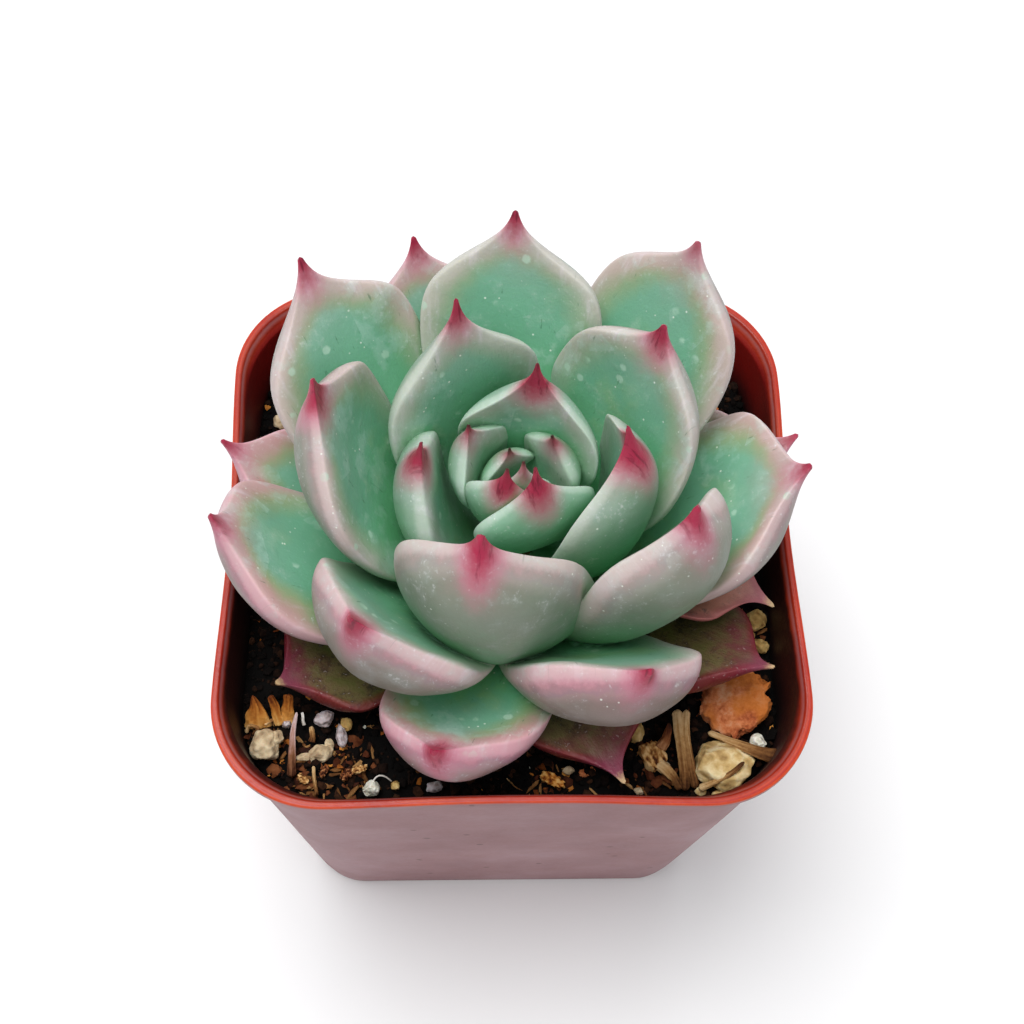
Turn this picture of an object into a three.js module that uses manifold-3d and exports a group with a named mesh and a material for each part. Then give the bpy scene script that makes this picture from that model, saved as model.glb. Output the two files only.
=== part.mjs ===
// A potted echeveria colorata: a rosette of thick, cupped leaves with red tips on a short stem,
// in gritty soil, in a small square nursery pot. Millimetres, +Z up. The origin is the middle of
// the pot's flat underside, and -Y is the front.

import * as THREE from 'three';
import { mergeVertices } from 'three/addons/utils/BufferGeometryUtils.js';
import Module from 'manifold-3d';

const wasm = await Module();
wasm.setup();

// Driving dimensions of the pot, a 57 mm square one
const POT_HEIGHT = 54;
const POT_FOOT_HALF = 23;
const POT_RIM_HALF = 28.5;
const POT_WALL = 0.7;
const POT_FLOOR = 1.4;
const FLOOR_FILLET = 0.7;
const RIM_LIP = 0.5;
const RIM_BAND = 1.2;
const RIM_WIDTH = 0.65;
const RIM_EDGE = 0.25;
const UNDER_RIM = POT_HEIGHT - RIM_BAND;
const FOOT_CHAMFER = 0.8;
const FOOT_CORNER_RATIO = 0.28;
const WALL_CORNER_RATIO = 0.4;
const RIM_CORNER_RATIO = 0.375;
const RIM_BOW = 0.5;
const BOW_START = 0.75;
const DRAIN_HOLE_RADIUS = 2.4;
const DRAIN_HOLE_OFFSET = 13;

// Steps round the pot: each side has straight steps, each corner arc steps
const SIDE_STEPS = 6;
const CORNER_STEPS = 5;
const STEPS_ROUND = 4 * (SIDE_STEPS + CORNER_STEPS);

// Driving dimensions of the soil and the stem
const GAP = 0.3;
const SOIL_LEVEL = 46;
const SOIL_RELIEF = 0.6;
const GRAIN_COUNT = 36;
const STEM_RADIUS = 4;
const STEM_FOOT = 38;
const STEM_TOP = 62;
const ROSETTE_CENTRE = new THREE.Vector3(0, -0.5, 0);

// Facets of a leaf, round it and along it
const LEAF_AROUND = 12;
const LEAF_ALONG = 10;
const LEAF_FOOT_WIDTH = 0.42;

const palette = {
  pot: new THREE.MeshStandardMaterial({ color: 0xb8432b, roughness: 0.55, metalness: 0 }),
  soil: new THREE.MeshStandardMaterial({ color: 0x2a1d16, roughness: 0.95, metalness: 0 }),
  bark: new THREE.MeshStandardMaterial({ color: 0x9a6238, roughness: 0.9, metalness: 0 }),
  pumice: new THREE.MeshStandardMaterial({ color: 0xd8cba6, roughness: 0.9, metalness: 0 }),
  perlite: new THREE.MeshStandardMaterial({ color: 0xe6e2d8, roughness: 0.9, metalness: 0 }),
  twig: new THREE.MeshStandardMaterial({ color: 0x6b5038, roughness: 0.9, metalness: 0 }),
  stem: new THREE.MeshStandardMaterial({ color: 0x8a8f5c, roughness: 0.8, metalness: 0 }),
  leaf: new THREE.MeshStandardMaterial({ color: 0x86b79a, roughness: 0.6, metalness: 0 }),
  oldLeaf: new THREE.MeshStandardMaterial({ color: 0x8d6666, roughness: 0.7, metalness: 0 }),
};

// The leaves, from the heart of the rosette outwards and down. Azimuth is anticlockwise from +X.
// Reach and tip are the radius and height of the leaf's point, foot is the height where it leaves
// the stem. Rise is its angle above level at the foot and at the point. Cup is how far the edges
// stand up, as a share of the half width. Twist and sweep turn it about itself and about the stem.
// Widest is the place of the greatest width along the leaf, shoulder is how square it is past
// that, and spine is the relative half width where the red point starts.
const LEAF_FIELDS = ['azimuth', 'reach', 'tip', 'foot', 'riseFoot', 'riseTip', 'width', 'thickness',
  'cup', 'twist', 'sweep', 'widest', 'shoulder', 'spine'];
const LEAVES = {
  leaf_heart_1: [131, 1.0, 69.5, 61, 60, 85, 6.0, 2.0, 0.20, -10, 5, 0.60, 2.4, 0.10],
  leaf_heart_2: [280, 2.4, 73.0, 60, 60, 95, 6.0, 2.2, 0.20, 0, 0, 0.60, 2.4, 0.10],
  leaf_heart_3: [17, 3.2, 71.5, 59, 45, 100, 7.5, 3.0, 0.10, 25, -15, 0.60, 2.4, 0.12],
  leaf_heart_4: [158, 4.7, 72.0, 59, 50, 90, 8.5, 3.0, 0.35, -10, 5, 0.55, 2.4, 0.12],
  leaf_heart_5: [253, 3.5, 73.5, 59, 55, 100, 8.0, 2.5, 0.25, 0, 0, 0.60, 2.4, 0.12],
  leaf_heart_6: [289, 4.0, 74.5, 57, 50, 110, 12.0, 3.2, 0.10, 0, -5, 0.60, 2.4, 0.12],
  leaf_inner_1: [74, 6.0, 76.0, 56, 50, 85, 13.5, 4.0, 0.45, 8, 15, 0.55, 2.3, 0.16],
  leaf_inner_2: [187, 8.5, 74.0, 53, 45, 95, 12.5, 4.5, 0.10, -15, -5, 0.55, 2.4, 0.14],
  leaf_inner_3: [354, 9.2, 77.0, 53, 20, 105, 14.0, 4.0, 0.60, -5, 30, 0.60, 2.2, 0.22],
  leaf_middle_1: [117, 12.0, 79.0, 54, 35, 75, 16.0, 4.5, 0.20, -5, -15, 0.55, 2.0, 0.16],
  leaf_middle_2: [34, 15.5, 78.0, 54, 25, 85, 18.5, 5.0, 0.20, 10, 10, 0.50, 1.8, 0.28],
  leaf_middle_3: [253, 12.0, 77.5, 51, 5, 110, 18.0, 6.0, 0.40, 8, -15, 0.50, 2.6, 0.35],
  leaf_middle_4: [170, 18.0, 78.0, 53, 15, 90, 18.5, 5.0, 0.20, 0, -15, 0.60, 1.9, 0.24],
  leaf_middle_5: [330, 17.0, 77.0, 50, 0, 95, 15.0, 6.0, 0.30, -20, 20, 0.70, 2.4, 0.40],
  leaf_outer_1: [90, 21.5, 77.5, 53, 35, 80, 17.5, 5.5, 0.25, -10, 0, 0.60, 2.2, 0.28],
  leaf_outer_2: [48, 25.0, 77.0, 52, 30, 85, 17.5, 5.0, 0.10, -5, 5, 0.60, 1.9, 0.35],
  leaf_outer_3: [139, 26.0, 76.5, 52, 25, 70, 17.5, 5.5, 0.20, -10, -15, 0.60, 2.4, 0.28],
  leaf_outer_4: [229, 22.0, 72.0, 50, -5, 80, 18.0, 6.0, 0.25, 0, -5, 0.70, 2.2, 0.27],
  leaf_outer_5: [298, 23.5, 70.5, 49, -5, 80, 16.5, 6.0, 0.20, -28, 10, 0.70, 2.4, 0.30],
  leaf_outer_6: [359, 27.0, 69.0, 51, 10, 65, 20.0, 5.0, 0.20, -10, 5, 0.60, 2.4, 0.34],
  leaf_outer_7: [189, 28.0, 67.0, 50, 15, 75, 17.0, 5.0, 0.10, 5, -15, 0.60, 2.0, 0.38],
  leaf_outer_8: [253, 26.0, 61.5, 50, 5, 80, 15.5, 5.5, 0.25, 5, -10, 0.60, 2.1, 0.42],
  leaf_low_1: [111, 27.0, 68.5, 51, 20, 75, 15.5, 5.0, 0.25, -5, 0, 0.60, 2.4, 0.28],
  leaf_low_2: [13, 28.5, 62.5, 50, 10, 55, 15.5, 5.0, 0.30, 0, 5, 0.60, 2.4, 0.26],
  leaf_low_3: [167, 29.0, 61.0, 50, 0, 60, 12.0, 4.5, 0.25, 0, 0, 0.55, 2.0, 0.28],
  leaf_low_4: [62, 24.0, 57.5, 50, 5, 45, 15.0, 4.5, 0.25, 0, 0, 0.60, 2.4, 0.28],
  leaf_low_5: [95, 22.5, 57.0, 50, 5, 45, 14.5, 4.5, 0.25, 0, 0, 0.60, 2.4, 0.28],
  leaf_low_6: [128, 23.5, 57.5, 50, 5, 45, 14.5, 4.5, 0.25, 0, 0, 0.60, 2.4, 0.28],
  leaf_old_1: [327, 29.0, 57.5, 49, 0, 50, 14.0, 4.0, 0.05, -25, 0, 0.60, 2.6, 0.22],
  leaf_old_2: [292, 27.5, 52.5, 49.5, 0, 20, 13.5, 4.0, 0.30, 0, 5, 0.60, 2.3, 0.24],
  leaf_old_3: [215, 27.5, 53.5, 49.5, 0, 55, 14.5, 4.0, 0.25, 0, 5, 0.60, 2.4, 0.28],
  leaf_old_4: [342, 27.0, 53.5, 49.5, 5, -15, 13.5, 3.0, 0.30, 0, -20, 0.60, 2.4, 0.24],
};

// The loose pieces on the soil that are large enough to pick up, with their middle and half sizes
const LUMPS = {
  pumice_front_right: { at: [20.3, -22.6, 47.6], half: [3.0, 2.4, 1.9], turn: 10, material: 'pumice' },
  perlite_front_left: { at: [-23.4, -20.1, 47.2], half: [1.6, 1.6, 1.5], turn: 0, material: 'perlite' },
  perlite_front_1: { at: [-13.6, -24.4, 46.9], half: [1.3, 1.1, 1.1], turn: 40, material: 'perlite' },
  perlite_front_2: { at: [-18.4, -22.2, 46.8], half: [1.5, 1.2, 1.1], turn: 20, material: 'perlite' },
  perlite_back_left: { at: [-23.6, 16.1, 47.0], half: [1.6, 1.9, 1.4], turn: 30, material: 'perlite' },
  perlite_right: { at: [24.8, -8.5, 46.8], half: [1.3, 1.6, 1.1], turn: 0, material: 'perlite' },
};
const CHIPS = {
  bark_chip_right: { at: [21.2, -15.4, 47.7], size: [6.0, 8.4, 1.5], turn: -35, lean: [12, -14] },
  bark_chip_left: { at: [-23.1, -16.4, 47.6], size: [3.6, 1.3, 3.4], turn: 4, lean: [-20, 2] },
  bark_chip_front: { at: [13.0, -21.9, 47.2], size: [2.6, 4.6, 1.3], turn: 25, lean: [-8, 6] },
  bark_chip_back: { at: [20.4, 18.0, 47.2], size: [5.2, 3.4, 1.3], turn: 35, lean: [8, -12] },
};
const TWIGS = {
  twig_left: { from: [-21.6, -17.6, 48.0], to: [-19.9, -24.0, 47.2], radius: 0.65 },
  twig_right: { from: [16.2, -17.2, 48.2], to: [16.7, -24.6, 47.0], radius: 0.6 },
};

// A repeatable random sequence
function seededRandom(seed) {
  let state = seed;
  return () => {
    state = (state * 1664525 + 1013904223) % 4294967296;
    return state / 4294967296;
  };
}

// A smooth bumpy field over space, about -1 to 1
function bumps(x, y, z) {
  const waves = [1.7 * x + 0.9 * y, 1.3 * y - 0.8 * z + 2, 1.1 * z + 1.9 * x + 4];
  return waves.reduce((sum, angle) => sum + Math.sin(angle), 0) / waves.length;
}

const radians = THREE.MathUtils.degToRad;

// Joining and cutting

function welded(geometry) {
  const bare = geometry.clone();
  bare.deleteAttribute('normal');
  bare.deleteAttribute('uv');
  return mergeVertices(bare);
}

function toSolid(geometry) {
  const shell = welded(geometry);
  return new wasm.Manifold(new wasm.Mesh({
    numProp: 3,
    vertProperties: new Float32Array(shell.attributes.position.array),
    triVerts: new Uint32Array(shell.index.array),
  }));
}

function toGeometry(solid) {
  const mesh = solid.getMesh();
  const geometry = new THREE.BufferGeometry();
  geometry.setAttribute('position', new THREE.BufferAttribute(new Float32Array(mesh.vertProperties), 3));
  geometry.setIndex(new THREE.BufferAttribute(new Uint32Array(mesh.triVerts), 1));
  return geometry;
}

function largestBody(solid) {
  return solid.decompose().reduce((best, body) => (body.volume() > best.volume() ? body : best));
}

// The same shape with its skin moved out by the gap that neighbours keep
function swollen(geometry, distance = GAP * 1.2) {
  const shell = welded(geometry);
  shell.computeVertexNormals();
  const position = shell.attributes.position;
  const normal = shell.attributes.normal;
  for (let i = 0; i < position.count; i += 1) {
    position.setXYZ(
      i,
      position.getX(i) + distance * normal.getX(i),
      position.getY(i) + distance * normal.getY(i),
      position.getZ(i) + distance * normal.getZ(i),
    );
  }
  shell.deleteAttribute('normal');
  return toSolid(shell);
}

// Leaves

// Relative half width along a leaf, from the foot at 0 to the point at 1
function halfWidthShare(s, leaf) {
  const spineLength = 0.12;
  const bladeEnd = 0.97;
  const footEnd = 0.06;
  const rounded = Math.sqrt(1 - (1 - Math.min(s / footEnd, 1)) ** 2);
  const rising = LEAF_FOOT_WIDTH
    + (1 - LEAF_FOOT_WIDTH) * Math.sin((Math.PI / 2) * Math.min(s / leaf.widest, 1)) ** 1.25;
  const past = Math.min(Math.max((s - leaf.widest) / (bladeEnd - leaf.widest), 0), 1);
  const blade = Math.max(rounded * (s < leaf.widest ? rising : Math.sqrt(1 - past ** leaf.shoulder)), 1e-6);
  const point = Math.max(leaf.spine * ((1 - s) / spineLength) ** 1.7, 1e-6);
  const blend = 5;
  return s > 0 && s < 1 ? (blade ** -blend + point ** -blend) ** (-1 / blend) : 0;
}

// The middle line of a leaf in its upright plane, as radius and height
function leafSpine(leaf) {
  const start = new THREE.Vector2(leaf.reach > 8 ? 2.5 : 1.2, leaf.foot);
  const end = new THREE.Vector2(leaf.reach, leaf.tip);
  const handle = 0.36 * start.distanceTo(end);
  const rise = (angle) => new THREE.Vector2(Math.cos(radians(angle)), Math.sin(radians(angle)));
  return new THREE.CubicBezierCurve(
    start,
    start.clone().addScaledVector(rise(leaf.riseFoot), handle),
    end.clone().addScaledVector(rise(leaf.riseTip), -handle),
    end,
  );
}

function leafGeometry(leaf) {
  const geometry = new THREE.SphereGeometry(1, LEAF_AROUND, LEAF_ALONG);
  const position = geometry.attributes.position;
  const uv = geometry.attributes.uv;
  const spine = leafSpine(leaf);
  for (let i = 0; i < position.count; i += 1) {
    const s = Math.sin((Math.PI / 2) * uv.getY(i)) ** 1.1;
    const around = 2 * Math.PI * uv.getX(i);
    const share = halfWidthShare(s, leaf);
    const half = (leaf.width / 2) * share;
    const thick = leaf.thickness * share ** 0.75;
    const azimuth = radians(leaf.azimuth + leaf.sweep * (s - 1));
    const out = new THREE.Vector3(Math.cos(azimuth), Math.sin(azimuth), 0);
    const side = new THREE.Vector3(-Math.sin(azimuth), Math.cos(azimuth), 0);
    const place = spine.getPoint(s);
    const heading = spine.getTangent(Math.min(Math.max(s, 1e-4), 1 - 1e-4));
    const inward = out.clone().multiplyScalar(-heading.y).setZ(heading.x);
    const twist = radians(leaf.twist) * s;
    const across = side.clone().multiplyScalar(Math.cos(twist)).addScaledVector(inward, Math.sin(twist));
    const face = inward.clone().multiplyScalar(Math.cos(twist)).addScaledVector(side, -Math.sin(twist));
    const belly = Math.sin(around);
    const depth = belly > 0 ? 0.3 * thick * belly : -0.7 * thick * Math.abs(belly) ** 0.9;
    const cup = leaf.cup * Math.min(1, s / 0.5) * half * Math.cos(around) ** 2;
    const point = out.multiplyScalar(place.x).setZ(place.y).add(ROSETTE_CENTRE)
      .addScaledVector(across, half * Math.cos(around))
      .addScaledVector(face, cup + depth);
    position.setXYZ(i, point.x, point.y, point.z);
  }
  return geometry;
}

function leafFromRow(row) {
  return Object.fromEntries(LEAF_FIELDS.map((field, i) => [field, row[i]]));
}

// Pot

// A point on a rounded square outline of the given half width, at one of STEPS_ROUND places
function squarePoint(step, half, ratio, bow) {
  const corner = half * ratio;
  const straight = half - corner;
  const stepsPerQuarter = SIDE_STEPS + CORNER_STEPS;
  const quarter = Math.floor(step / stepsPerQuarter);
  const k = step - quarter * stepsPerQuarter;
  let x = half;
  let y = -straight + (2 * straight * k) / SIDE_STEPS;
  if (k > SIDE_STEPS) {
    const angle = (Math.PI / 2) * ((k - SIDE_STEPS) / CORNER_STEPS);
    x = straight + corner * Math.cos(angle);
    y = straight + corner * Math.sin(angle);
  } else if (straight > 0) {
    x -= bow * (1 - (y / straight) ** 2) ** 2;
  }
  return new THREE.Vector2(x, y).rotateAround(new THREE.Vector2(), (quarter * Math.PI) / 2);
}

// How round the corners are at a height, as a share of the half width
function cornerRatio(z) {
  return z > UNDER_RIM
    ? RIM_CORNER_RATIO
    : THREE.MathUtils.lerp(FOOT_CORNER_RATIO, WALL_CORNER_RATIO, z / UNDER_RIM);
}

// A turned shape of [half width, height] profile points, made square in plan
function squareTurned(profile, bowAt = () => 0) {
  const points = profile.map(([half, z]) => new THREE.Vector2(half, z));
  const geometry = new THREE.LatheGeometry(points, STEPS_ROUND);
  geometry.rotateX(Math.PI / 2);
  const position = geometry.attributes.position;
  const uv = geometry.attributes.uv;
  for (let i = 0; i < position.count; i += 1) {
    const half = Math.hypot(position.getX(i), position.getY(i));
    const z = position.getZ(i);
    const step = Math.round(uv.getX(i) * STEPS_ROUND) % STEPS_ROUND;
    const plan = squarePoint(step, half, cornerRatio(z), bowAt(z));
    position.setXYZ(i, plan.x, plan.y, z);
  }
  return geometry;
}

// How far the sides bow inwards, growing towards the rim
const rimBow = (z) => RIM_BOW * Math.max(0, (z / POT_HEIGHT - BOW_START) / (1 - BOW_START));

// Half width of the wall's outer face under the rim
function wallHalf(z) {
  return THREE.MathUtils.lerp(POT_FOOT_HALF, POT_RIM_HALF - RIM_LIP, Math.min(z / UNDER_RIM, 1));
}

const insideHalf = (z) => wallHalf(z) - POT_WALL;

function potSolid() {
  const aboveFloor = POT_FLOOR + FLOOR_FILLET;
  const profile = [
    [0, 0],
    [POT_FOOT_HALF - FOOT_CHAMFER, 0],
    [wallHalf(FOOT_CHAMFER), FOOT_CHAMFER],
    [wallHalf(UNDER_RIM), UNDER_RIM],
    [POT_RIM_HALF, UNDER_RIM + RIM_EDGE],
    [POT_RIM_HALF, POT_HEIGHT - RIM_EDGE],
    [POT_RIM_HALF - RIM_EDGE, POT_HEIGHT],
    [POT_RIM_HALF - RIM_WIDTH, POT_HEIGHT],
    [insideHalf(UNDER_RIM), UNDER_RIM],
    [insideHalf(aboveFloor), aboveFloor],
    [insideHalf(POT_FLOOR) - FLOOR_FILLET, POT_FLOOR],
    [0, POT_FLOOR],
  ];
  let pot = toSolid(squareTurned(profile, rimBow));
  for (const [x, y] of [[1, 0], [0, 1], [-1, 0], [0, -1]]) {
    const hole = new THREE.CylinderGeometry(DRAIN_HOLE_RADIUS, DRAIN_HOLE_RADIUS, 3 * POT_FLOOR, 16);
    hole.rotateX(Math.PI / 2);
    hole.translate(x * DRAIN_HOLE_OFFSET, y * DRAIN_HOLE_OFFSET, POT_FLOOR / 2);
    pot = pot.subtract(toSolid(hole));
  }
  return pot;
}

// Soil, stem and what lies on the soil

function soilHeight(x, y) {
  return SOIL_LEVEL + SOIL_RELIEF * bumps(0.55 * x, 0.6 * y, 3);
}

function soilBlock() {
  const top = insideHalf(SOIL_LEVEL - 1.2) - GAP;
  const foot = insideHalf(POT_FLOOR) - GAP;
  const rings = [0.97, 0.84, 0.68, 0.5, 0.32].map((share) => [top * share, SOIL_LEVEL]);
  const profile = [
    [0, POT_FLOOR + GAP],
    [foot - 1.2, POT_FLOOR + GAP],
    [foot, POT_FLOOR + GAP + 1.2],
    [top, SOIL_LEVEL - 1.2],
    ...rings,
    [0, SOIL_LEVEL],
  ];
  const geometry = squareTurned(profile, rimBow);
  const position = geometry.attributes.position;
  for (let i = 0; i < position.count; i += 1) {
    if (position.getZ(i) === SOIL_LEVEL) {
      position.setZ(i, soilHeight(position.getX(i), position.getY(i)));
    }
  }
  return toSolid(geometry);
}

function soilGrains() {
  const random = seededRandom(7);
  const spread = wallHalf(SOIL_LEVEL) - 4;
  const grains = [];
  while (grains.length < GRAIN_COUNT) {
    const x = spread * (2 * random() - 1);
    const y = spread * (2 * random() - 1);
    const size = 0.7 + 0.7 * random();
    const grain = new THREE.OctahedronGeometry(size);
    grain.rotateX(random() * 3).rotateZ(random() * 3);
    grain.translate(x, y, soilHeight(x, y) + 0.1 * size);
    if (Math.hypot(x, y) > STEM_RADIUS + 4 && Math.hypot(x, y) < 1.2 * spread) {
      grains.push(toSolid(grain));
    }
  }
  return grains;
}

function stemGeometry(grow = 0) {
  const profile = [
    [0, STEM_FOOT - grow],
    [STEM_RADIUS * 0.8 + grow, STEM_FOOT + 1 - grow],
    [STEM_RADIUS + grow, SOIL_LEVEL],
    [STEM_RADIUS + grow, 53],
    [STEM_RADIUS * 0.8 + grow, 57],
    [STEM_RADIUS * 0.4 + grow, STEM_TOP - 1.6],
    [0, STEM_TOP + grow],
  ].map(([radius, z]) => new THREE.Vector2(radius, z));
  const geometry = new THREE.LatheGeometry(profile, 14);
  geometry.rotateX(Math.PI / 2);
  geometry.translate(ROSETTE_CENTRE.x, ROSETTE_CENTRE.y, 0);
  return geometry;
}

function stemHole() {
  const depth = STEM_TOP - STEM_FOOT + 1;
  const hole = new THREE.CylinderGeometry(STEM_RADIUS + GAP, STEM_RADIUS + GAP, depth, 14);
  hole.rotateX(Math.PI / 2);
  hole.translate(ROSETTE_CENTRE.x, ROSETTE_CENTRE.y, STEM_FOOT - 0.6 + depth / 2);
  return toSolid(hole);
}

function lumpGeometry({ at, half, turn }) {
  const geometry = new THREE.IcosahedronGeometry(1, 1);
  const position = geometry.attributes.position;
  for (let i = 0; i < position.count; i += 1) {
    const [x, y, z] = [position.getX(i), position.getY(i), position.getZ(i)];
    const swell = 1 + 0.14 * bumps(3 * x + at[0], 3 * y + at[1], 3 * z);
    position.setXYZ(i, x * swell * half[0], y * swell * half[1], z * swell * half[2]);
  }
  return geometry.rotateZ(radians(turn)).translate(...at);
}

function chipGeometry({ at, size, turn, lean }) {
  const geometry = new THREE.BoxGeometry(...size, 2, 3, 1);
  const position = geometry.attributes.position;
  for (let i = 0; i < position.count; i += 1) {
    const [x, y, z] = [position.getX(i), position.getY(i), position.getZ(i)];
    const ragged = 1 + 0.16 * bumps(x + at[0], y + at[1], z);
    position.setXYZ(i, x * ragged, y * ragged, z * (1.2 - 0.5 * (2 * Math.abs(y) / size[1]) ** 2));
  }
  geometry.rotateX(radians(lean[0])).rotateY(radians(lean[1])).rotateZ(radians(turn));
  return geometry.translate(...at);
}

function twigGeometry({ from, to, radius }) {
  const start = new THREE.Vector3(...from);
  const end = new THREE.Vector3(...to);
  const along = end.clone().sub(start);
  const geometry = new THREE.CylinderGeometry(radius * 0.7, radius, along.length(), 7, 3);
  const position = geometry.attributes.position;
  for (let i = 0; i < position.count; i += 1) {
    position.setX(i, position.getX(i) + 0.3 * Math.cos((3 * position.getY(i)) / along.length()));
  }
  const upright = new THREE.Vector3(0, 1, 0);
  const turn = new THREE.Quaternion().setFromUnitVectors(upright, along.clone().normalize());
  const middle = start.clone().add(end).multiplyScalar(0.5);
  return geometry.applyQuaternion(turn).translate(middle.x, middle.y, middle.z);
}

// The whole plant in its pot

const plant = new THREE.Group();

function add(name, solid, material) {
  const mesh = new THREE.Mesh(toGeometry(solid), material);
  mesh.name = name;
  plant.add(mesh);
}

add('pot', potSolid(), palette.pot);
add('stem', toSolid(stemGeometry()), palette.stem);

let taken = toSolid(stemGeometry(GAP));
for (const [name, row] of Object.entries(LEAVES)) {
  const shape = leafGeometry(leafFromRow(row));
  const skin = name.startsWith('leaf_old') ? palette.oldLeaf : palette.leaf;
  add(name, largestBody(toSolid(shape).subtract(taken)), skin);
  taken = taken.add(swollen(shape));
}

const loose = [
  ...Object.entries(LUMPS).map(([name, lump]) => [name, lumpGeometry(lump), palette[lump.material]]),
  ...Object.entries(CHIPS).map(([name, chip]) => [name, chipGeometry(chip), palette.bark]),
  ...Object.entries(TWIGS).map(([name, twig]) => [name, twigGeometry(twig), palette.twig]),
];
for (const [name, shape, material] of loose) {
  add(name, largestBody(toSolid(shape).subtract(taken)), material);
  taken = taken.add(swollen(shape));
}

let soil = soilBlock();
for (const grain of soilGrains()) {
  soil = soil.add(grain);
}
add('soil', largestBody(soil.subtract(stemHole()).subtract(taken)), palette.soil);

export default plant;
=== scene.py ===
"""A potted echeveria colorata: the finished plant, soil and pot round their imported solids.

Shapes are worked out in millimetres and brought to metres when a piece is finished. The origin is
the middle of the pot's underside, +Z is up and -Y is the front.
"""

import math
import random

import bmesh
import bpy
from mathutils import Matrix, Vector, noise
from mathutils.bvhtree import BVHTree


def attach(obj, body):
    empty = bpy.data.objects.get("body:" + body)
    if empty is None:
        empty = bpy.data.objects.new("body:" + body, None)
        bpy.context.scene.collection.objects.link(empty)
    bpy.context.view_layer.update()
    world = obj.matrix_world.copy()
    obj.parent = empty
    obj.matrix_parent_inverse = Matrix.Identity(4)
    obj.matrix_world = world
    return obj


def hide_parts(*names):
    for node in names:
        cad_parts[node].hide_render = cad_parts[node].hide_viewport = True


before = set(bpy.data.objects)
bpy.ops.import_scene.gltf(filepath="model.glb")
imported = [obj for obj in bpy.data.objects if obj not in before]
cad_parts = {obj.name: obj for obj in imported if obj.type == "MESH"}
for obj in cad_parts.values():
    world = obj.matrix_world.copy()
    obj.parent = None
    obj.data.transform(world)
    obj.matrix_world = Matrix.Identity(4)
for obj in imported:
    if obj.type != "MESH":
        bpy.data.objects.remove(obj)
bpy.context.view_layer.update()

MM = 0.001
BODY = "root"

# The camera, at the photograph's angle: azimuth, height above level and roll in degrees
CAMERA_AZIMUTH = -4.9
CAMERA_ELEVATION = 63.5
CAMERA_ROLL = 4.37
CAMERA_DISTANCE = 150.7
CAMERA_TARGET = Vector((0.12, 1.55, 54.0))
CAMERA_LENS = 53.05

# The pot
POT_HEIGHT = 54.0
POT_FOOT_HALF = 23.0
POT_RIM_HALF = 28.5
POT_WALL = 0.7
POT_FLOOR = 1.4
RIM_LIP = 0.5
RIM_BAND = 1.2
RIM_WIDTH = 0.65
UNDER_RIM = POT_HEIGHT - RIM_BAND
FOOT_CORNER_RATIO = 0.28
WALL_CORNER_RATIO = 0.4
RIM_CORNER_RATIO = 0.375
RIM_BOW = 0.5
BOW_START = 0.75
STRAIGHT_SHARE = 0.6
DRAIN_HOLE_RADIUS = 2.4
DRAIN_HOLE_OFFSET = 13.0
DRAIN_HOLE_SIDES = 48
# The mesh of the pot: steps round it, the ring of its floor past the drain holes, and the heights
# of the rings of its wall
POT_STEPS = 288
FLOOR_RING = 17.0
WALL_RINGS = range(4, 53, 3)

# The soil and the stem
GAP = 0.3
SOIL_LEVEL = 46.0
SOIL_RELIEF = 0.6
SOIL_LUMPS = 0.45
SOIL_EDGE_GAP = 0.12
SOIL_STEPS = 256
SOIL_RINGS = 44
STEM_RADIUS = 4.0
STEM_FOOT = 38.0
STEM_TOP = 62.0
STEM_STEPS = 40
ROSETTE_CENTRE = Vector((0.0, -0.5, 0.0))

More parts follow.
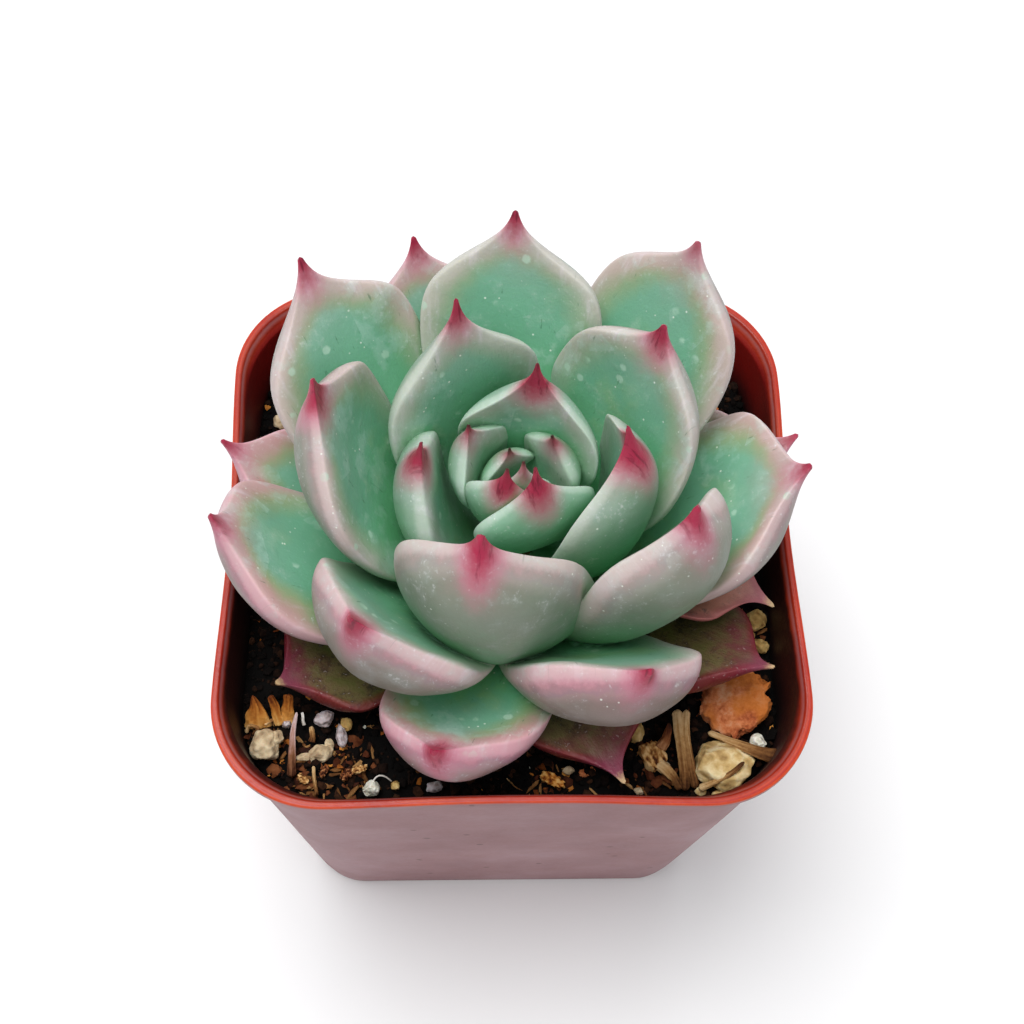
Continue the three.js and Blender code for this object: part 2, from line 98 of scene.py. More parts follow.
# Leaves, from the heart outwards and down. Azimuth is anticlockwise from +X. Reach and tip are the
# radius and height of the point, foot is the height where the leaf leaves the stem. Rise is the
# angle above level at the foot and at the point. Cup is how far the edges stand up, twist and
# sweep turn the leaf about itself and about the stem, widest and shoulder shape its outline, and
# spine is the relative half width where the red point starts. Blush is how pink the back of the
# leaf is, warmth how rosy its face is towards the edge, and red how far the crimson reaches.
LEAF_FIELDS = (
    "azimuth", "reach", "tip", "foot", "rise_foot", "rise_tip", "width", "thickness",
    "cup", "twist", "sweep", "widest", "shoulder", "spine", "blush", "warmth", "red",
)
LEAVES = {
    "heart_1": (131, 1.0, 69.5, 61, 60, 85, 6.0, 2.0, 0.20, -10, 5, 0.60, 2.4, 0.10, 0.0, 0.0, 1.5),
    "heart_2": (280, 2.4, 73.0, 60, 60, 95, 6.0, 2.2, 0.20, 0, 0, 0.60, 2.4, 0.10, 0.0, 0.0, 1.8),
    "heart_3": (17, 3.2, 71.5, 59, 45, 100, 7.5, 3.0, 0.10, 25, -15, 0.60, 2.4, 0.12, 0.05, 0.0, 2.1),
    "heart_4": (158, 4.7, 72.0, 59, 50, 90, 8.5, 3.0, 0.35, -10, 5, 0.55, 2.4, 0.12, 0.05, 0.0, 2.1),
    "heart_5": (253, 3.5, 73.5, 59, 55, 100, 8.0, 2.5, 0.25, 0, 0, 0.60, 2.4, 0.12, 0.05, 0.0, 3.5),
    "heart_6": (289, 4.0, 74.5, 57, 50, 110, 12.0, 3.2, 0.10, 0, -5, 0.60, 2.4, 0.12, 0.05, 0.0, 3.8),
    "inner_1": (74, 6.0, 76.0, 56, 50, 85, 13.5, 4.0, 0.45, 8, 15, 0.55, 2.3, 0.16, 0.1, 0.1, 3.9),
    "inner_2": (187, 8.5, 74.0, 53, 45, 95, 12.5, 4.5, 0.10, -15, -5, 0.55, 2.4, 0.14, 0.2, 0.0, 4.0),
    "inner_3": (354, 9.2, 77.0, 53, 20, 105, 14.0, 4.0, 0.60, -5, 30, 0.60, 2.2, 0.22, 0.3, 0.0, 4.7),
    "middle_1": (117, 12.0, 79.0, 54, 35, 75, 16.0, 4.5, 0.20, -5, -15, 0.55, 2.0, 0.16, 0.3, 0.15, 3.2),
    "middle_2": (34, 15.5, 78.0, 54, 25, 85, 18.5, 5.0, 0.20, 10, 10, 0.50, 1.8, 0.28, 0.5, 0.45, 3.2),
    "middle_3": (253, 12.0, 77.5, 51, 5, 110, 18.0, 6.0, 0.40, 8, -15, 0.50, 2.6, 0.35, 0.6, 0.3, 3.4),
    "middle_4": (170, 18.0, 78.0, 53, 15, 90, 18.5, 5.0, 0.20, 0, -15, 0.60, 1.9, 0.24, 0.65, 0.5, 3.9),
    "middle_5": (330, 17.0, 77.0, 50, 0, 95, 15.0, 6.0, 0.30, -20, 20, 0.70, 2.4, 0.40, 0.6, 0.3, 3.3),
    "outer_1": (90, 21.5, 77.5, 53, 35, 80, 17.5, 5.5, 0.25, -10, 0, 0.60, 2.2, 0.28, 0.4, 0.45, 2.7),
    "outer_2": (48, 25.0, 77.0, 52, 30, 85, 17.5, 5.0, 0.10, -5, 5, 0.60, 1.9, 0.35, 0.6, 0.7, 2.0),
    "outer_3": (139, 26.0, 76.5, 52, 25, 70, 17.5, 5.5, 0.20, -10, -15, 0.60, 2.4, 0.28, 0.6, 0.65, 2.8),
    "outer_4": (229, 22.0, 72.0, 50, -5, 80, 18.0, 6.0, 0.25, 0, -5, 0.70, 2.2, 0.27, 0.8, 0.2, 3.4),
    "outer_5": (298, 23.5, 70.5, 49, -5, 80, 16.5, 6.0, 0.20, -28, 10, 0.70, 2.4, 0.30, 0.9, 0.2, 2.9),
    "outer_6": (359, 27.0, 69.0, 51, 10, 65, 20.0, 5.0, 0.20, -10, 5, 0.60, 2.4, 0.34, 0.7, 0.85, 2.4),
    "outer_7": (189, 28.0, 67.0, 50, 15, 75, 17.0, 5.0, 0.10, 5, -15, 0.60, 2.0, 0.38, 0.9, 0.9, 2.4),
    "outer_8": (253, 26.0, 61.5, 50, 5, 80, 15.5, 5.5, 0.25, 5, -10, 0.60, 2.1, 0.42, 1.0, 1.0, 2.9),
    "low_1": (111, 27.0, 68.5, 51, 20, 75, 15.5, 5.0, 0.25, -5, 0, 0.60, 2.4, 0.28, 0.8, 0.8, 2.8),
    "low_2": (13, 28.5, 62.5, 50, 10, 55, 15.5, 5.0, 0.30, 0, 5, 0.60, 2.4, 0.26, 0.9, 0.9, 2.2),
    "low_3": (167, 29.0, 61.0, 50, 0, 60, 12.0, 4.5, 0.25, 0, 0, 0.55, 2.0, 0.28, 1.0, 1.0, 2.4),
    "low_4": (62, 24.0, 57.5, 50, 5, 45, 15.0, 4.5, 0.25, 0, 0, 0.60, 2.4, 0.28, 0.9, 0.8, 1.8),
    "low_5": (95, 22.5, 57.0, 50, 5, 45, 14.5, 4.5, 0.25, 0, 0, 0.60, 2.4, 0.28, 0.9, 0.8, 1.8),
    "low_6": (128, 23.5, 57.5, 50, 5, 45, 14.5, 4.5, 0.25, 0, 0, 0.60, 2.4, 0.28, 0.9, 0.8, 1.8),
    "old_1": (327, 29.0, 57.5, 49, 0, 50, 14.0, 4.0, 0.05, -25, 0, 0.60, 2.6, 0.22, 0.3, 0.0, 2.0),
    "old_2": (292, 27.5, 52.5, 49.5, 0, 20, 13.5, 4.0, 0.30, 0, 5, 0.60, 2.3, 0.24, 0.4, 0.0, 2.0),
    "old_3": (215, 27.5, 53.5, 49.5, 0, 55, 14.5, 4.0, 0.25, 0, 5, 0.60, 2.4, 0.28, 0.0, 0.0, 2.0),
    "old_4": (342, 27.0, 53.5, 49.5, 5, -15, 13.5, 3.0, 0.30, 0, -20, 0.60, 2.4, 0.24, 1.0, 0.0, 2.0),
}
LEAF_AROUND = 64
LEAF_ALONG = 72
# As shares of a leaf: its width at the foot, the length that the foot is rounded over, where its
# blade ends, the length of its spine, and how much of its thickness lies on the face and the back
LEAF_FOOT_WIDTH = 0.42
LEAF_FOOT_END = 0.06
BLADE_END = 0.97
SPINE_LENGTH = 0.12
FACE_SHARE = 0.3
BACK_SHARE = 0.7
# How sharply the blade's outline turns into the spine's
OUTLINE_SHARPNESS = 5
# A leaf's middle line starts this far out from the rosette's middle, and nearer to it where the leaf
# reaches out less far than the third number. Then how long its handles are, as a share, and the
# steps that its length is summed in.
LINE_START = 2.5
HEART_LINE_START = 1.2
HEART_REACH = 8
LINE_HANDLE = 0.36
LINE_STEPS = 40
# Every leaf ends in a fine needle: its half width, how far it is drawn out past the CAD's point,
# from what share of the leaf, the share that it tapers over, and the leaf width from which it has
# its whole reach
NEEDLE_HALF = 0.11
NEEDLE_REACH = 1.1
NEEDLE_START = 0.9
NEEDLE_TAPER = 0.03
NEEDLE_FULL_WIDTH = 14

# Numbers kept on a leaf's points for its material: distance from its edge, minus on the back,
# share of its length, distances from its point, distance from its middle line, the last three
# columns above, a number of its own, and how deep in a crevice the place is, for painted shade
LEAF_MARKS = ("edge", "along", "tip", "spot", "across", "blush", "warmth", "red", "seed", "hollow")

# Crevices are felt out by this many rays of this length, which start this far off the leaf. Rays
# that come nearer than this to grazing it are left out.
HOLLOW_RAYS = 26
HOLLOW_REACH = 8.0
HOLLOW_START = 0.12
HOLLOW_GRAZING = 0.15


# Small sums

def between(first, second, share):
    return first + (second - first) * share


def held(value, low=0.0, high=1.0):
    return min(max(value, low), high)


def colour(tone):
    """A colour on a screen's 0 to 255 scale, as a shader wants it."""
    linear = []
    for channel in tone:
        part = channel / 255
        linear.append(part / 12.92 if part <= 0.04045 else ((part + 0.055) / 1.055) ** 2.4)
    return (*linear, 1.0)


# Materials

class Wire:
    """A value in a material's nodes. Arithmetic on it adds Math nodes."""

    def __init__(self, finish, node, output):
        self.finish = finish
        self.node = node
        self.socket = node.outputs[output]

    def maths(self, operation, first, second):
        return self.finish.node("ShaderNodeMath", {"operation": operation}, {0: first, 1: second})

    def __add__(self, other):
        return self.maths("ADD", self, other)

    def __radd__(self, other):
        return self.maths("ADD", other, self)

    def __sub__(self, other):
        return self.maths("SUBTRACT", self, other)

    def __rsub__(self, other):
        return self.maths("SUBTRACT", other, self)

    def __mul__(self, other):
        return self.maths("MULTIPLY", self, other)

    def __abs__(self):
        return self.finish.node("ShaderNodeMath", {"operation": "ABSOLUTE"}, {0: self})


class Finish:
    """A procedural material under construction."""

    def __init__(self, name):
        self.material = bpy.data.materials.new(name)
        self.material.use_nodes = True
        self.tree = self.material.node_tree
        self.tree.nodes.clear()

    def node(self, kind, settings=None, sockets=None, output=0):
        """Adds a node, sets it up, fills its sockets and gives one of its outputs."""
        node = self.tree.nodes.new(kind)
        for key, value in (settings or {}).items():
            if key == "stops":
                elements = node.color_ramp.elements
                elements[0].position, elements[0].color = value[0]
                elements[1].position, elements[1].color = value[-1]
                for position, stop in value[1:-1]:
                    elements.new(position).color = stop
            else:
                setattr(node, key, value)
        for key, value in (sockets or {}).items():
            if isinstance(value, Wire):
                self.tree.links.new(value.socket, node.inputs[key])
            else:
                node.inputs[key].default_value = value
        return Wire(self, node, output)

    def place(self):
        """Where the surface is, in millimetres."""
        metres = self.node("ShaderNodeTexCoord", output="Object")
        return self.node("ShaderNodeVectorMath", {"operation": "SCALE"}, {0: metres, "Scale": 1 / MM})

    def mark(self, name):
        """One of the numbers kept on the mesh's points."""
        return self.node("ShaderNodeAttribute", {"attribute_name": name}, output="Fac")

    def marks(self, *names):
        return [self.mark(name) for name in names]

    def rise(self, value, low, high):
        """Smoothly 0 to 1 as the value goes from low to high."""
        return self.node(
            "ShaderNodeMapRange",
            {"interpolation_type": "SMOOTHSTEP"},
            {"Value": value, "From Min": low, "From Max": high},
        )

    def fall(self, value, low, high):
        """Smoothly 1 to 0 as the value goes from low to high."""
        return 1 - self.rise(value, low, high)

    def clouds(self, place, size, detail=3.0, rough=0.5):
        """Soft noise, about 0 to 1, with features of the given size."""
        sockets = {"Vector": place, "Scale": 1 / size, "Detail": detail, "Roughness": rough}
        return self.node("ShaderNodeTexNoise", {}, sockets)

    def cells(self, place, size, output="Distance"):
        """Distance to scattered points about the given size apart, or a shade for each."""
        return self.node("ShaderNodeTexVoronoi", {}, {"Vector": place, "Scale": 1 / size}, output)

    def lengthwise(self, across, tip, fine, coarse):
        """A place on a leaf for patterns that run along it: finer across than lengthwise."""
        seed = self.mark("seed")
        return self.node("ShaderNodeCombineXYZ", {}, {"X": across * fine, "Y": tip * coarse, "Z": seed})

    def mix(self, first, second, share):
        """Lays the second colour over the first by the given share."""
        under, over = (tone if isinstance(tone, Wire) else colour(tone) for tone in (first, second))
        return self.node("ShaderNodeMix", {"data_type": "RGBA"}, {0: share, 6: under, 7: over}, 2)

    def ramp(self, value, stops):
        """A run of colours, from a list of places along it and colours."""
        stops = [(position, colour(tone)) for position, tone in stops]
        return self.node("ShaderNodeValToRGB", {"stops": stops}, {"Fac": value})

    def relief(self, height, depth, under=None):
        """A bump of the given depth in millimetres."""
        sockets = {"Height": height, "Distance": depth * MM, "Strength": 1.0}
        if under is not None:
            sockets["Normal"] = under
        return self.node("ShaderNodeBump", {}, sockets)

    def surface(self, **sockets):
        """Ends the material in one principled surface and gives it back."""
        named = {key.replace("_", " "): value for key, value in sockets.items()}
        shader = self.node("ShaderNodeBsdfPrincipled", {}, named, "BSDF")
        end = self.tree.nodes.new("ShaderNodeOutputMaterial")
        self.tree.links.new(shader.socket, end.inputs["Surface"])
        return self.material


def leaf_skin():
    """Mint flesh under a pale bloom, pink at the edge and on the back, crimson at the point."""
    skin = Finish("leaf_skin")
    place = skin.place()
    edge, along, tip, spot = skin.marks("edge", "along", "tip", "spot")
    across, blush, warmth = skin.marks("across", "blush", "warmth")
    drift = skin.clouds(place, 9, 2) - 0.5
    patches = skin.clouds(place, 2.4, 5, 0.6) - 0.5
    fine = skin.clouds(place, 0.4, 3, 0.6) - 0.5
    grain = skin.clouds(skin.lengthwise(across, tip, 0.9, 0.2), 1.0, 4, 0.6)
    off_edge = abs(edge)
    upper = skin.rise(along, 0.3, 0.62)

    # The inner face, green in its depth and darkest at the foot, partly as painted shade, olive
    # and then rosy towards the edge
    inner = skin.ramp(along + drift * 0.3, [
        (0.0, (50, 124, 64)),
        (0.24, (84, 160, 104)),
        (0.42, (104, 174, 130)),
        (0.6, (110, 172, 140)),
        (0.8, (122, 174, 148)),
        (1.0, (138, 168, 146)),
    ])
    sunned = skin.rise(drift + patches * 0.5, 0.02, 0.24) * skin.fall(along, 0.5, 0.85)
    inner = skin.mix(inner, (112, 164, 76), sunned * 0.65)
    depth = edge + patches * 2.4 + drift * 3.0
    reach = skin.rise(along, 0.45, 0.95) * (1.0 + warmth * 1.8) + 0.3
    olive = skin.fall(depth - reach, 0.4, 3.4)
    inner = skin.mix(inner, (158, 156, 104), olive * (0.15 + warmth * 0.55) * upper)
    rim_zone = skin.fall(depth - reach, -1.4, 1.3)
    rim_tone = skin.mix((194, 188, 180), (196, 136, 136), warmth)
    inner = skin.mix(inner, rim_tone, rim_zone * (0.4 + warmth * 0.5) * upper)
    greyed = skin.fall(tip + patches * 5, 2.0, 8.5) * (0.25 + warmth * 0.5)
    inner = skin.mix(inner, (176, 150, 148), greyed)

    # The back, green at the foot, darkest there partly as painted shade, and dusty rose towards
    # the edge and the point
    back = skin.ramp(along + drift * 0.25, [
        (0.0, (52, 122, 64)),
        (0.28, (98, 164, 108)),
        (0.5, (108, 176, 130)),
        (0.75, (120, 172, 140)),
        (1.0, (136, 168, 150)),
    ])
    rose = skin.ramp(off_edge + patches * 3.0, [
        (0.0, (178, 102, 122)),
        (0.3, (142, 80, 96)),
        (0.75, (114, 80, 92)),
        (1.0, (122, 98, 94)),
    ])
    rosy = skin.rise(along + drift * 0.4 + patches * 0.5, 0.24, 0.78) * blush
    back = skin.mix(back, rose, rosy)
    flushed = skin.fall(tip + patches * 4, 1.0, 8.0) * (0.25 + blush * 0.4)
    back = skin.mix(back, (176, 128, 134), flushed)

    # From back to face, with the pale line of the edge between them
    facing = skin.rise(edge + patches * 0.3, -0.35, 0.35)
    flesh = skin.mix(back, inner, facing)
    wide = skin.fall(edge + patches * 1.6, 0.3, 4.2) * facing
    mint = skin.mix((168, 216, 190), (192, 196, 186), upper)
    flesh = skin.mix(flesh, mint, wide * (1 - upper * warmth * 0.7) * 0.55)
    glow_tone = skin.mix((172, 212, 190), (212, 156, 170), blush)
    glow = skin.fall(off_edge + patches * 1.2 - skin.rise(along, 0.6, 0.95) * 0.7, 0.1, 1.7)
    flesh = skin.mix(flesh, glow_tone, glow * skin.rise(along, 0.1, 0.4) * 0.32)
    line = skin.fall(off_edge + fine * 0.4, 0.05, 0.45) * skin.rise(along, 0.1, 0.35)
    line_tone = skin.mix((198, 224, 208), (222, 174, 184), blush)
    flesh = skin.mix(flesh, line_tone, line * 0.42)

    # Bloom, rubbed into streaks, with water spots, scuffs and dark scratches
    film = skin.rise(patches + drift * 0.6, -0.02, 0.26) * skin.rise(along, 0.2, 0.7)
    flesh = skin.mix(flesh, (214, 222, 224), film * 0.12)
    streaks = skin.rise(grain + patches * 0.2, 0.5, 0.72) * skin.fall(off_edge + patches * 2, 0.6, 3.2)
    flesh = skin.mix(flesh, (226, 216, 226), streaks * facing * skin.rise(along, 0.35, 0.6) * 0.4)
    rubbed = skin.rise(skin.cells(place, 5.5, output="Color"), 0.62, 0.64) * facing
    flesh = skin.mix(flesh, (186, 216, 206), rubbed * skin.rise(patches, -0.05, 0.1) * 0.22)
    drops = skin.fall(skin.cells(place, 2.8) + fine * 0.12, 0.11, 0.19)
    some = skin.rise(skin.clouds(place, 5, 1), 0.46, 0.54)
    flesh = skin.mix(flesh, (190, 222, 202), drops * some * facing * 0.55)
    crumbs = skin.fall(skin.cells(place, 0.9), 0.08, 0.14)
    few = skin.rise(skin.clouds(place, 3, 2), 0.53, 0.62)
    flesh = skin.mix(flesh, (236, 242, 232), crumbs * few * 0.7)
    near_edge = skin.fall(off_edge + patches * 2, 1.0, 4.5) * upper
    frosted = skin.rise(fine + patches * 0.6, 0.08, 0.34) * (0.14 + near_edge * 0.3)
    flesh = skin.mix(flesh, (230, 230, 232), frosted)
    scratches = skin.clouds(skin.lengthwise(across, tip, 2.6, 0.5), 1.0, 3, 0.6)
    flesh = skin.mix(flesh, (48, 100, 74), skin.rise(scratches, 0.66, 0.74) * facing * 0.5)

    # The point
    red = skin.mark("red")
    ragged = spot + patches * 1.3 + fine * 0.7
    halo = skin.fall(ragged - red, -0.8, 2.0)
    flesh = skin.mix(flesh, (206, 110, 140), halo * 0.55)
    crimson = skin.fall(ragged - red, -1.9, 0.4)
    flesh = skin.mix(flesh, (168, 14, 62), crimson * 0.94)
    veins = skin.rise(scratches, 0.52, 0.66) * crimson
    flesh = skin.mix(flesh, (108, 4, 38), veins * 0.7)
    flesh = skin.mix(flesh, (66, 34, 32), skin.fall(tip + fine * 0.5, 0.3, 0.9))

    # Painted shade: deep between the leaves the green is darkened and made strong
    hollow = skin.mark("hollow") + patches * 0.1
    flesh = skin.mix(flesh, (58, 152, 82), skin.rise(hollow, 0.26, 0.86) * 0.45)
    flesh = skin.mix(flesh, (12, 92, 28), skin.rise(hollow, 0.72, 1.0) * 0.7)

    pores = skin.relief(skin.clouds(place, 0.22, 2), 0.02)
    soft = skin.relief(patches + grain * 0.6, 0.1, pores)
    return skin.surface(
        Base_Color=flesh,
        Roughness=0.44 + film * 0.12 + fine * 0.1,
        Normal=soft,
        Subsurface_Weight=0.12,
        Subsurface_Radius=(1.0, 1.0, 0.6),
        Subsurface_Scale=0.0012,
        Sheen_Weight=0.04,
        Sheen_Roughness=0.5,
        Specular_IOR_Level=0.45,
    )


def old_leaf_skin():
    """The lowest leaves, olive going brown, crimson at the rim and dry at the point."""
    skin = Finish("old_leaf_skin")
    place = skin.place()
    edge, along, tip, across, pale = skin.marks("edge", "along", "tip", "across", "blush")
    drift = skin.clouds(place, 6, 3) - 0.5
    patches = skin.clouds(place, 1.6, 5, 0.65) - 0.5
    fine = skin.clouds(place, 0.32, 3, 0.6) - 0.5
    off_edge = abs(edge)
    middle = skin.ramp(along + drift * 0.5 + patches * 0.5, [
        (0.0, (14, 34, 8)),
        (0.36, (44, 66, 26)),
        (0.56, (88, 94, 42)),
        (0.74, (108, 92, 60)),
        (0.88, (118, 62, 62)),
        (1.0, (124, 44, 70)),
    ])
    pale_middle = skin.ramp(along + patches * 0.6, [
        (0.3, (120, 76, 46)),
        (0.6, (176, 112, 92)),
        (1.0, (206, 146, 134)),
    ])
    paling = skin.rise(pale, 0.5, 0.9)
    flesh = skin.mix(middle, pale_middle, paling)
    moss = skin.rise(patches * 1.1 + fine * 0.5, -0.02, 0.18) * skin.fall(along + drift * 0.6, 0.62, 0.9)
    flesh = skin.mix(flesh, (22, 28, 14), moss * 0.8)
    below = skin.fall(edge + patches * 1.6, -1.6, 1.0)
    rimmed = skin.fall(off_edge + patches * 2.0, 0.2, 1.4) * skin.rise(along, 0.3, 0.65)
    rim_red = skin.mix((122, 12, 36), (188, 108, 108), paling)
    flesh = skin.mix(flesh, rim_red, rimmed * 0.7)
    flesh = skin.mix(flesh, rim_red, below * 0.65)
    mauve = skin.fall(tip + patches * 4, 0.8, 5.0)
    flesh = skin.mix(flesh, (156, 92, 116), mauve * 0.5)
    frost = skin.rise(fine * 1.3 + patches * 0.6, 0.18, 0.36) * skin.rise(along, 0.3, 0.6)
    flesh = skin.mix(flesh, (214, 196, 190), frost * 0.55)
    flesh = skin.mix(flesh, (204, 172, 130), skin.fall(tip + fine, 0.8, 1.7))
    wrinkles = skin.clouds(skin.lengthwise(across, tip, 1.6, 0.3), 1.0, 4, 0.6)
    flesh = skin.mix(flesh, (60, 22, 26), skin.rise(wrinkles, 0.6, 0.78) * 0.22)
    # Painted shade: dark deep between the leaves, where the hollow mark is high
    hollow = skin.rise(skin.mark("hollow") + patches * 0.1, 0.3, 0.95)
    flesh = skin.mix(flesh, (20, 30, 12), hollow * 0.85)
    folds = skin.relief(wrinkles, 0.16)
    return skin.surface(
        Base_Color=flesh,
        Roughness=0.5 + patches * 0.2,
        Normal=skin.relief(fine, 0.08, folds),
        Subsurface_Weight=0.06,
        Subsurface_Radius=(1.0, 0.5, 0.4),
        Subsurface_Scale=0.0008,
        Specular_IOR_Level=0.4,
    )


def pot_plastic():
    """Thin moulded terracotta plastic, mauve-grey outside, with painted light and shade on the rim and
    inside.
    """
    plastic = Finish("pot_plastic")
    place = plastic.place()
    height = plastic.node("ShaderNodeSeparateXYZ", {}, {0: place}, "Z")
    inward, half = plastic.marks("inward", "half")
    drift = plastic.clouds(place, 14, 3) - 0.5
    patches = plastic.clouds(place, 3.2, 5, 0.62) - 0.5
    fine = plastic.clouds(place, 0.5, 3, 0.6) - 0.5
    clay = plastic.ramp(plastic.clouds(place, 6, 3), [
        (0.3, (168, 34, 3)),
        (0.5, (186, 48, 8)),
        (0.7, (200, 66, 22)),
    ])
    top = plastic.rise(height, POT_HEIGHT - 0.5, POT_HEIGHT - 0.2)
    # Painted shade: a thin darker line along the top of the rim
    from_line = abs(half - (POT_RIM_HALF - 0.4 * RIM_WIDTH))
    skin = plastic.mix(clay, (160, 20, 2), plastic.fall(from_line, 0.03, 0.12) * top * 0.8)
    # Painted shade: darker red on the inner edge of the rim's top
    rim_inner_shade = plastic.fall(half + fine * 0.1, POT_RIM_HALF - 0.55, POT_RIM_HALF - 0.3) * top
    skin = plastic.mix(skin, (124, 14, 4), rim_inner_shade * 0.6)
    # Painted highlight along the outer edge of the rim
    rim_highlight = plastic.rise(half + fine * 0.2, POT_RIM_HALF - 0.2, POT_RIM_HALF)
    skin = plastic.mix(skin, (228, 104, 56), rim_highlight * 0.3)
    # Mauve-grey over the outside of the pot
    outer_mauve = plastic.ramp(drift + patches * 0.4 + 0.5, [
        (0.25, (134, 98, 102)),
        (0.5, (148, 114, 118)),
        (0.75, (162, 132, 138)),
    ])
    outside = plastic.fall(height + patches * 0.4, POT_HEIGHT - 0.5, POT_HEIGHT - 0.16)
    skin = plastic.mix(skin, outer_mauve, outside * (1 - inward) * 0.92)
    scuff = plastic.rise(patches * 0.8 + fine * 0.9, 0.3, 0.42)
    skin = plastic.mix(skin, (96, 60, 62), scuff * (1 - inward) * outside * 0.6)
    flecks = plastic.fall(plastic.cells(place, 5.0) + fine * 0.1, 0.05, 0.1) * (1 - inward) * outside
    skin = plastic.mix(skin, (78, 44, 44), flecks * 0.6)
    # Painted shade on the inside of the wall below the rim, near black at the front and dark red at the
    # back
    inner_wall_shade = plastic.fall(height + patches * 0.9, POT_HEIGHT - 1.3, POT_HEIGHT - 0.3)
    depth = plastic.node("ShaderNodeSeparateXYZ", {}, {0: place}, "Y")
    inner_shade_tone = plastic.mix((26, 3, 2), (126, 3, 3), plastic.rise(depth, 6, 22))
    skin = plastic.mix(skin, inner_shade_tone, inner_wall_shade * inward * 0.95)
    # Painted shade, near black, deep in the pot down towards the soil
    low_inside_shade = plastic.fall(height + drift * 5 + patches * 2, SOIL_LEVEL - 1.0, SOIL_LEVEL + 4.5)
    skin = plastic.mix(skin, (14, 4, 3), low_inside_shade * inward * 0.92)
    return plastic.surface(
        Base_Color=skin,
        Roughness=0.4 + outside * 0.16 + fine * 0.15,
        Normal=plastic.relief(fine + patches * 0.5, 0.03),
        Subsurface_Weight=0.05,
        Subsurface_Radius=(1.0, 0.35, 0.2),
        Subsurface_Scale=0.001,
        Specular_IOR_Level=0.45,
    )


def earth(name, shades, rough=0.9, depth=0.12, size=0.6):
    """Loose soil matter: a run of shades spread over the crumbs by their own tint."""
    matter = Finish(name)
    place = matter.place()
    mottle = matter.clouds(place, size, 4, 0.65)
    stops = [(i / (len(shades) - 1), shade) for i, shade in enumerate(shades)]
    tone = matter.ramp(matter.mark("tint") + (mottle - 0.5) * 0.5, stops)
    return matter.surface(
        Base_Color=tone,
        Roughness=rough,
        Normal=matter.relief(mottle, depth),
        Specular_IOR_Level=0.15,
    )


def bark_chip_skin():
    """Broken bark, orange outside and pink tan where it has split."""
    bark = Finish("bark_chip_skin")
    place = bark.place()
    coarse = bark.clouds(place, 2.4, 4, 0.6)
    fine = bark.clouds(place, 0.5, 4, 0.65)
    tone = bark.ramp(coarse * 0.6 + fine * 0.4, [
        (0.3, (96, 40, 22)),
        (0.42, (168, 84, 44)),
        (0.52, (206, 122, 74)),
        (0.62, (216, 156, 116)),
        (0.75, (226, 180, 146)),
    ])
    tone = bark.mix(tone, (196, 112, 36), bark.rise(bark.clouds(place, 4.5, 2), 0.5, 0.6) * 0.7)
    return bark.surface(
        Base_Color=tone,
        Roughness=0.85,
        Normal=bark.relief(fine + coarse, 0.25),
        Specular_IOR_Level=0.3,
    )


def stone_skin(name, hollow, middle, high, size):
    """Porous white or cream stone, darker in its pits."""
    stone = Finish(name)
    place = stone.place()
    pits = stone.cells(place, size)
    mottle = stone.clouds(place, size * 1.6, 5, 0.62)
    tone = stone.ramp(mottle * 0.75 + pits * 0.3, [
        (0.3, hollow),
        (0.52, middle),
        (0.72, high),
    ])
    return stone.surface(
        Base_Color=tone,
        Roughness=0.85,
        Normal=stone.relief(pits + mottle, 0.14),
        Subsurface_Weight=0.06,
        Subsurface_Scale=0.0005,
        Specular_IOR_Level=0.3,
    )


def floor_skin():
    """Plain pale paper."""
    paper = Finish("floor_skin")
    grain = paper.clouds(paper.place(), 1.5, 2)
    return paper.surface(
        Base_Color=colour((248, 248, 248)),
        Roughness=0.9,
        Normal=paper.relief(grain, 0.01),
        Specular_IOR_Level=0.1,
    )


# Pieces

def turn_outward(bm):
    """Turns every face of a closed shape outward."""
    bmesh.ops.recalc_face_normals(bm, faces=bm.faces)
    if bm.calc_volume(signed=True) < 0:
        bmesh.ops.reverse_faces(bm, faces=bm.faces)


def ball(around, along, *marks):
    """A ball with a pole at its top and bottom, and the layers for numbers kept on its points."""
    bm = bmesh.new()
    bmesh.ops.create_uvsphere(bm, u_segments=around, v_segments=along, radius=1)
    return bm, {mark: bm.verts.layers.float.new(mark) for mark in marks}


def ball_angles(vert):
    """The angles of a point of a ball: down from its top, and round it."""
    return math.acos(held(vert.co.z, -1, 1)), math.atan2(vert.co.y, vert.co.x)


def placed(name, bm):
    """Makes an object of a shape and lets the shape go."""
    mesh = bpy.data.meshes.new(name)
    bm.to_mesh(mesh)
    bm.free()
    piece = bpy.data.objects.new(name, mesh)
    bpy.context.scene.collection.objects.link(piece)
    return piece


def add_copy(whole, shape):
    """Adds a copy of one shape to another."""
    mesh = bpy.data.meshes.new("copy")
    shape.to_mesh(mesh)
    whole.from_mesh(mesh)
    bpy.data.meshes.remove(mesh)


def finished(name, bm, material, slot, *nodes):
    """Brings a shape to metres and makes it a piece that rides with the pot."""
    bmesh.ops.scale(bm, vec=(MM, MM, MM), verts=bm.verts)
    piece = placed(name, bm)
    piece.data.shade_smooth()
    piece.data.materials.append(material)
    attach(piece, BODY)
    if nodes:
        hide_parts(*nodes)
    return piece


# The pot and the soil share one rounded square plan

def wall_half(height):
    """Half the width of the pot's outside at a height below its rim."""
    return between(POT_FOOT_HALF, POT_RIM_HALF - RIM_LIP, held(height / UNDER_RIM))


def inside_half(height):
    return wall_half(height) - POT_WALL


def corner_ratio(height):
    """How round the corners are at a height, as a share of the half width."""
    if height > UNDER_RIM + 1e-4:
        return RIM_CORNER_RATIO
    return between(FOOT_CORNER_RATIO, WALL_CORNER_RATIO, held(height / UNDER_RIM))


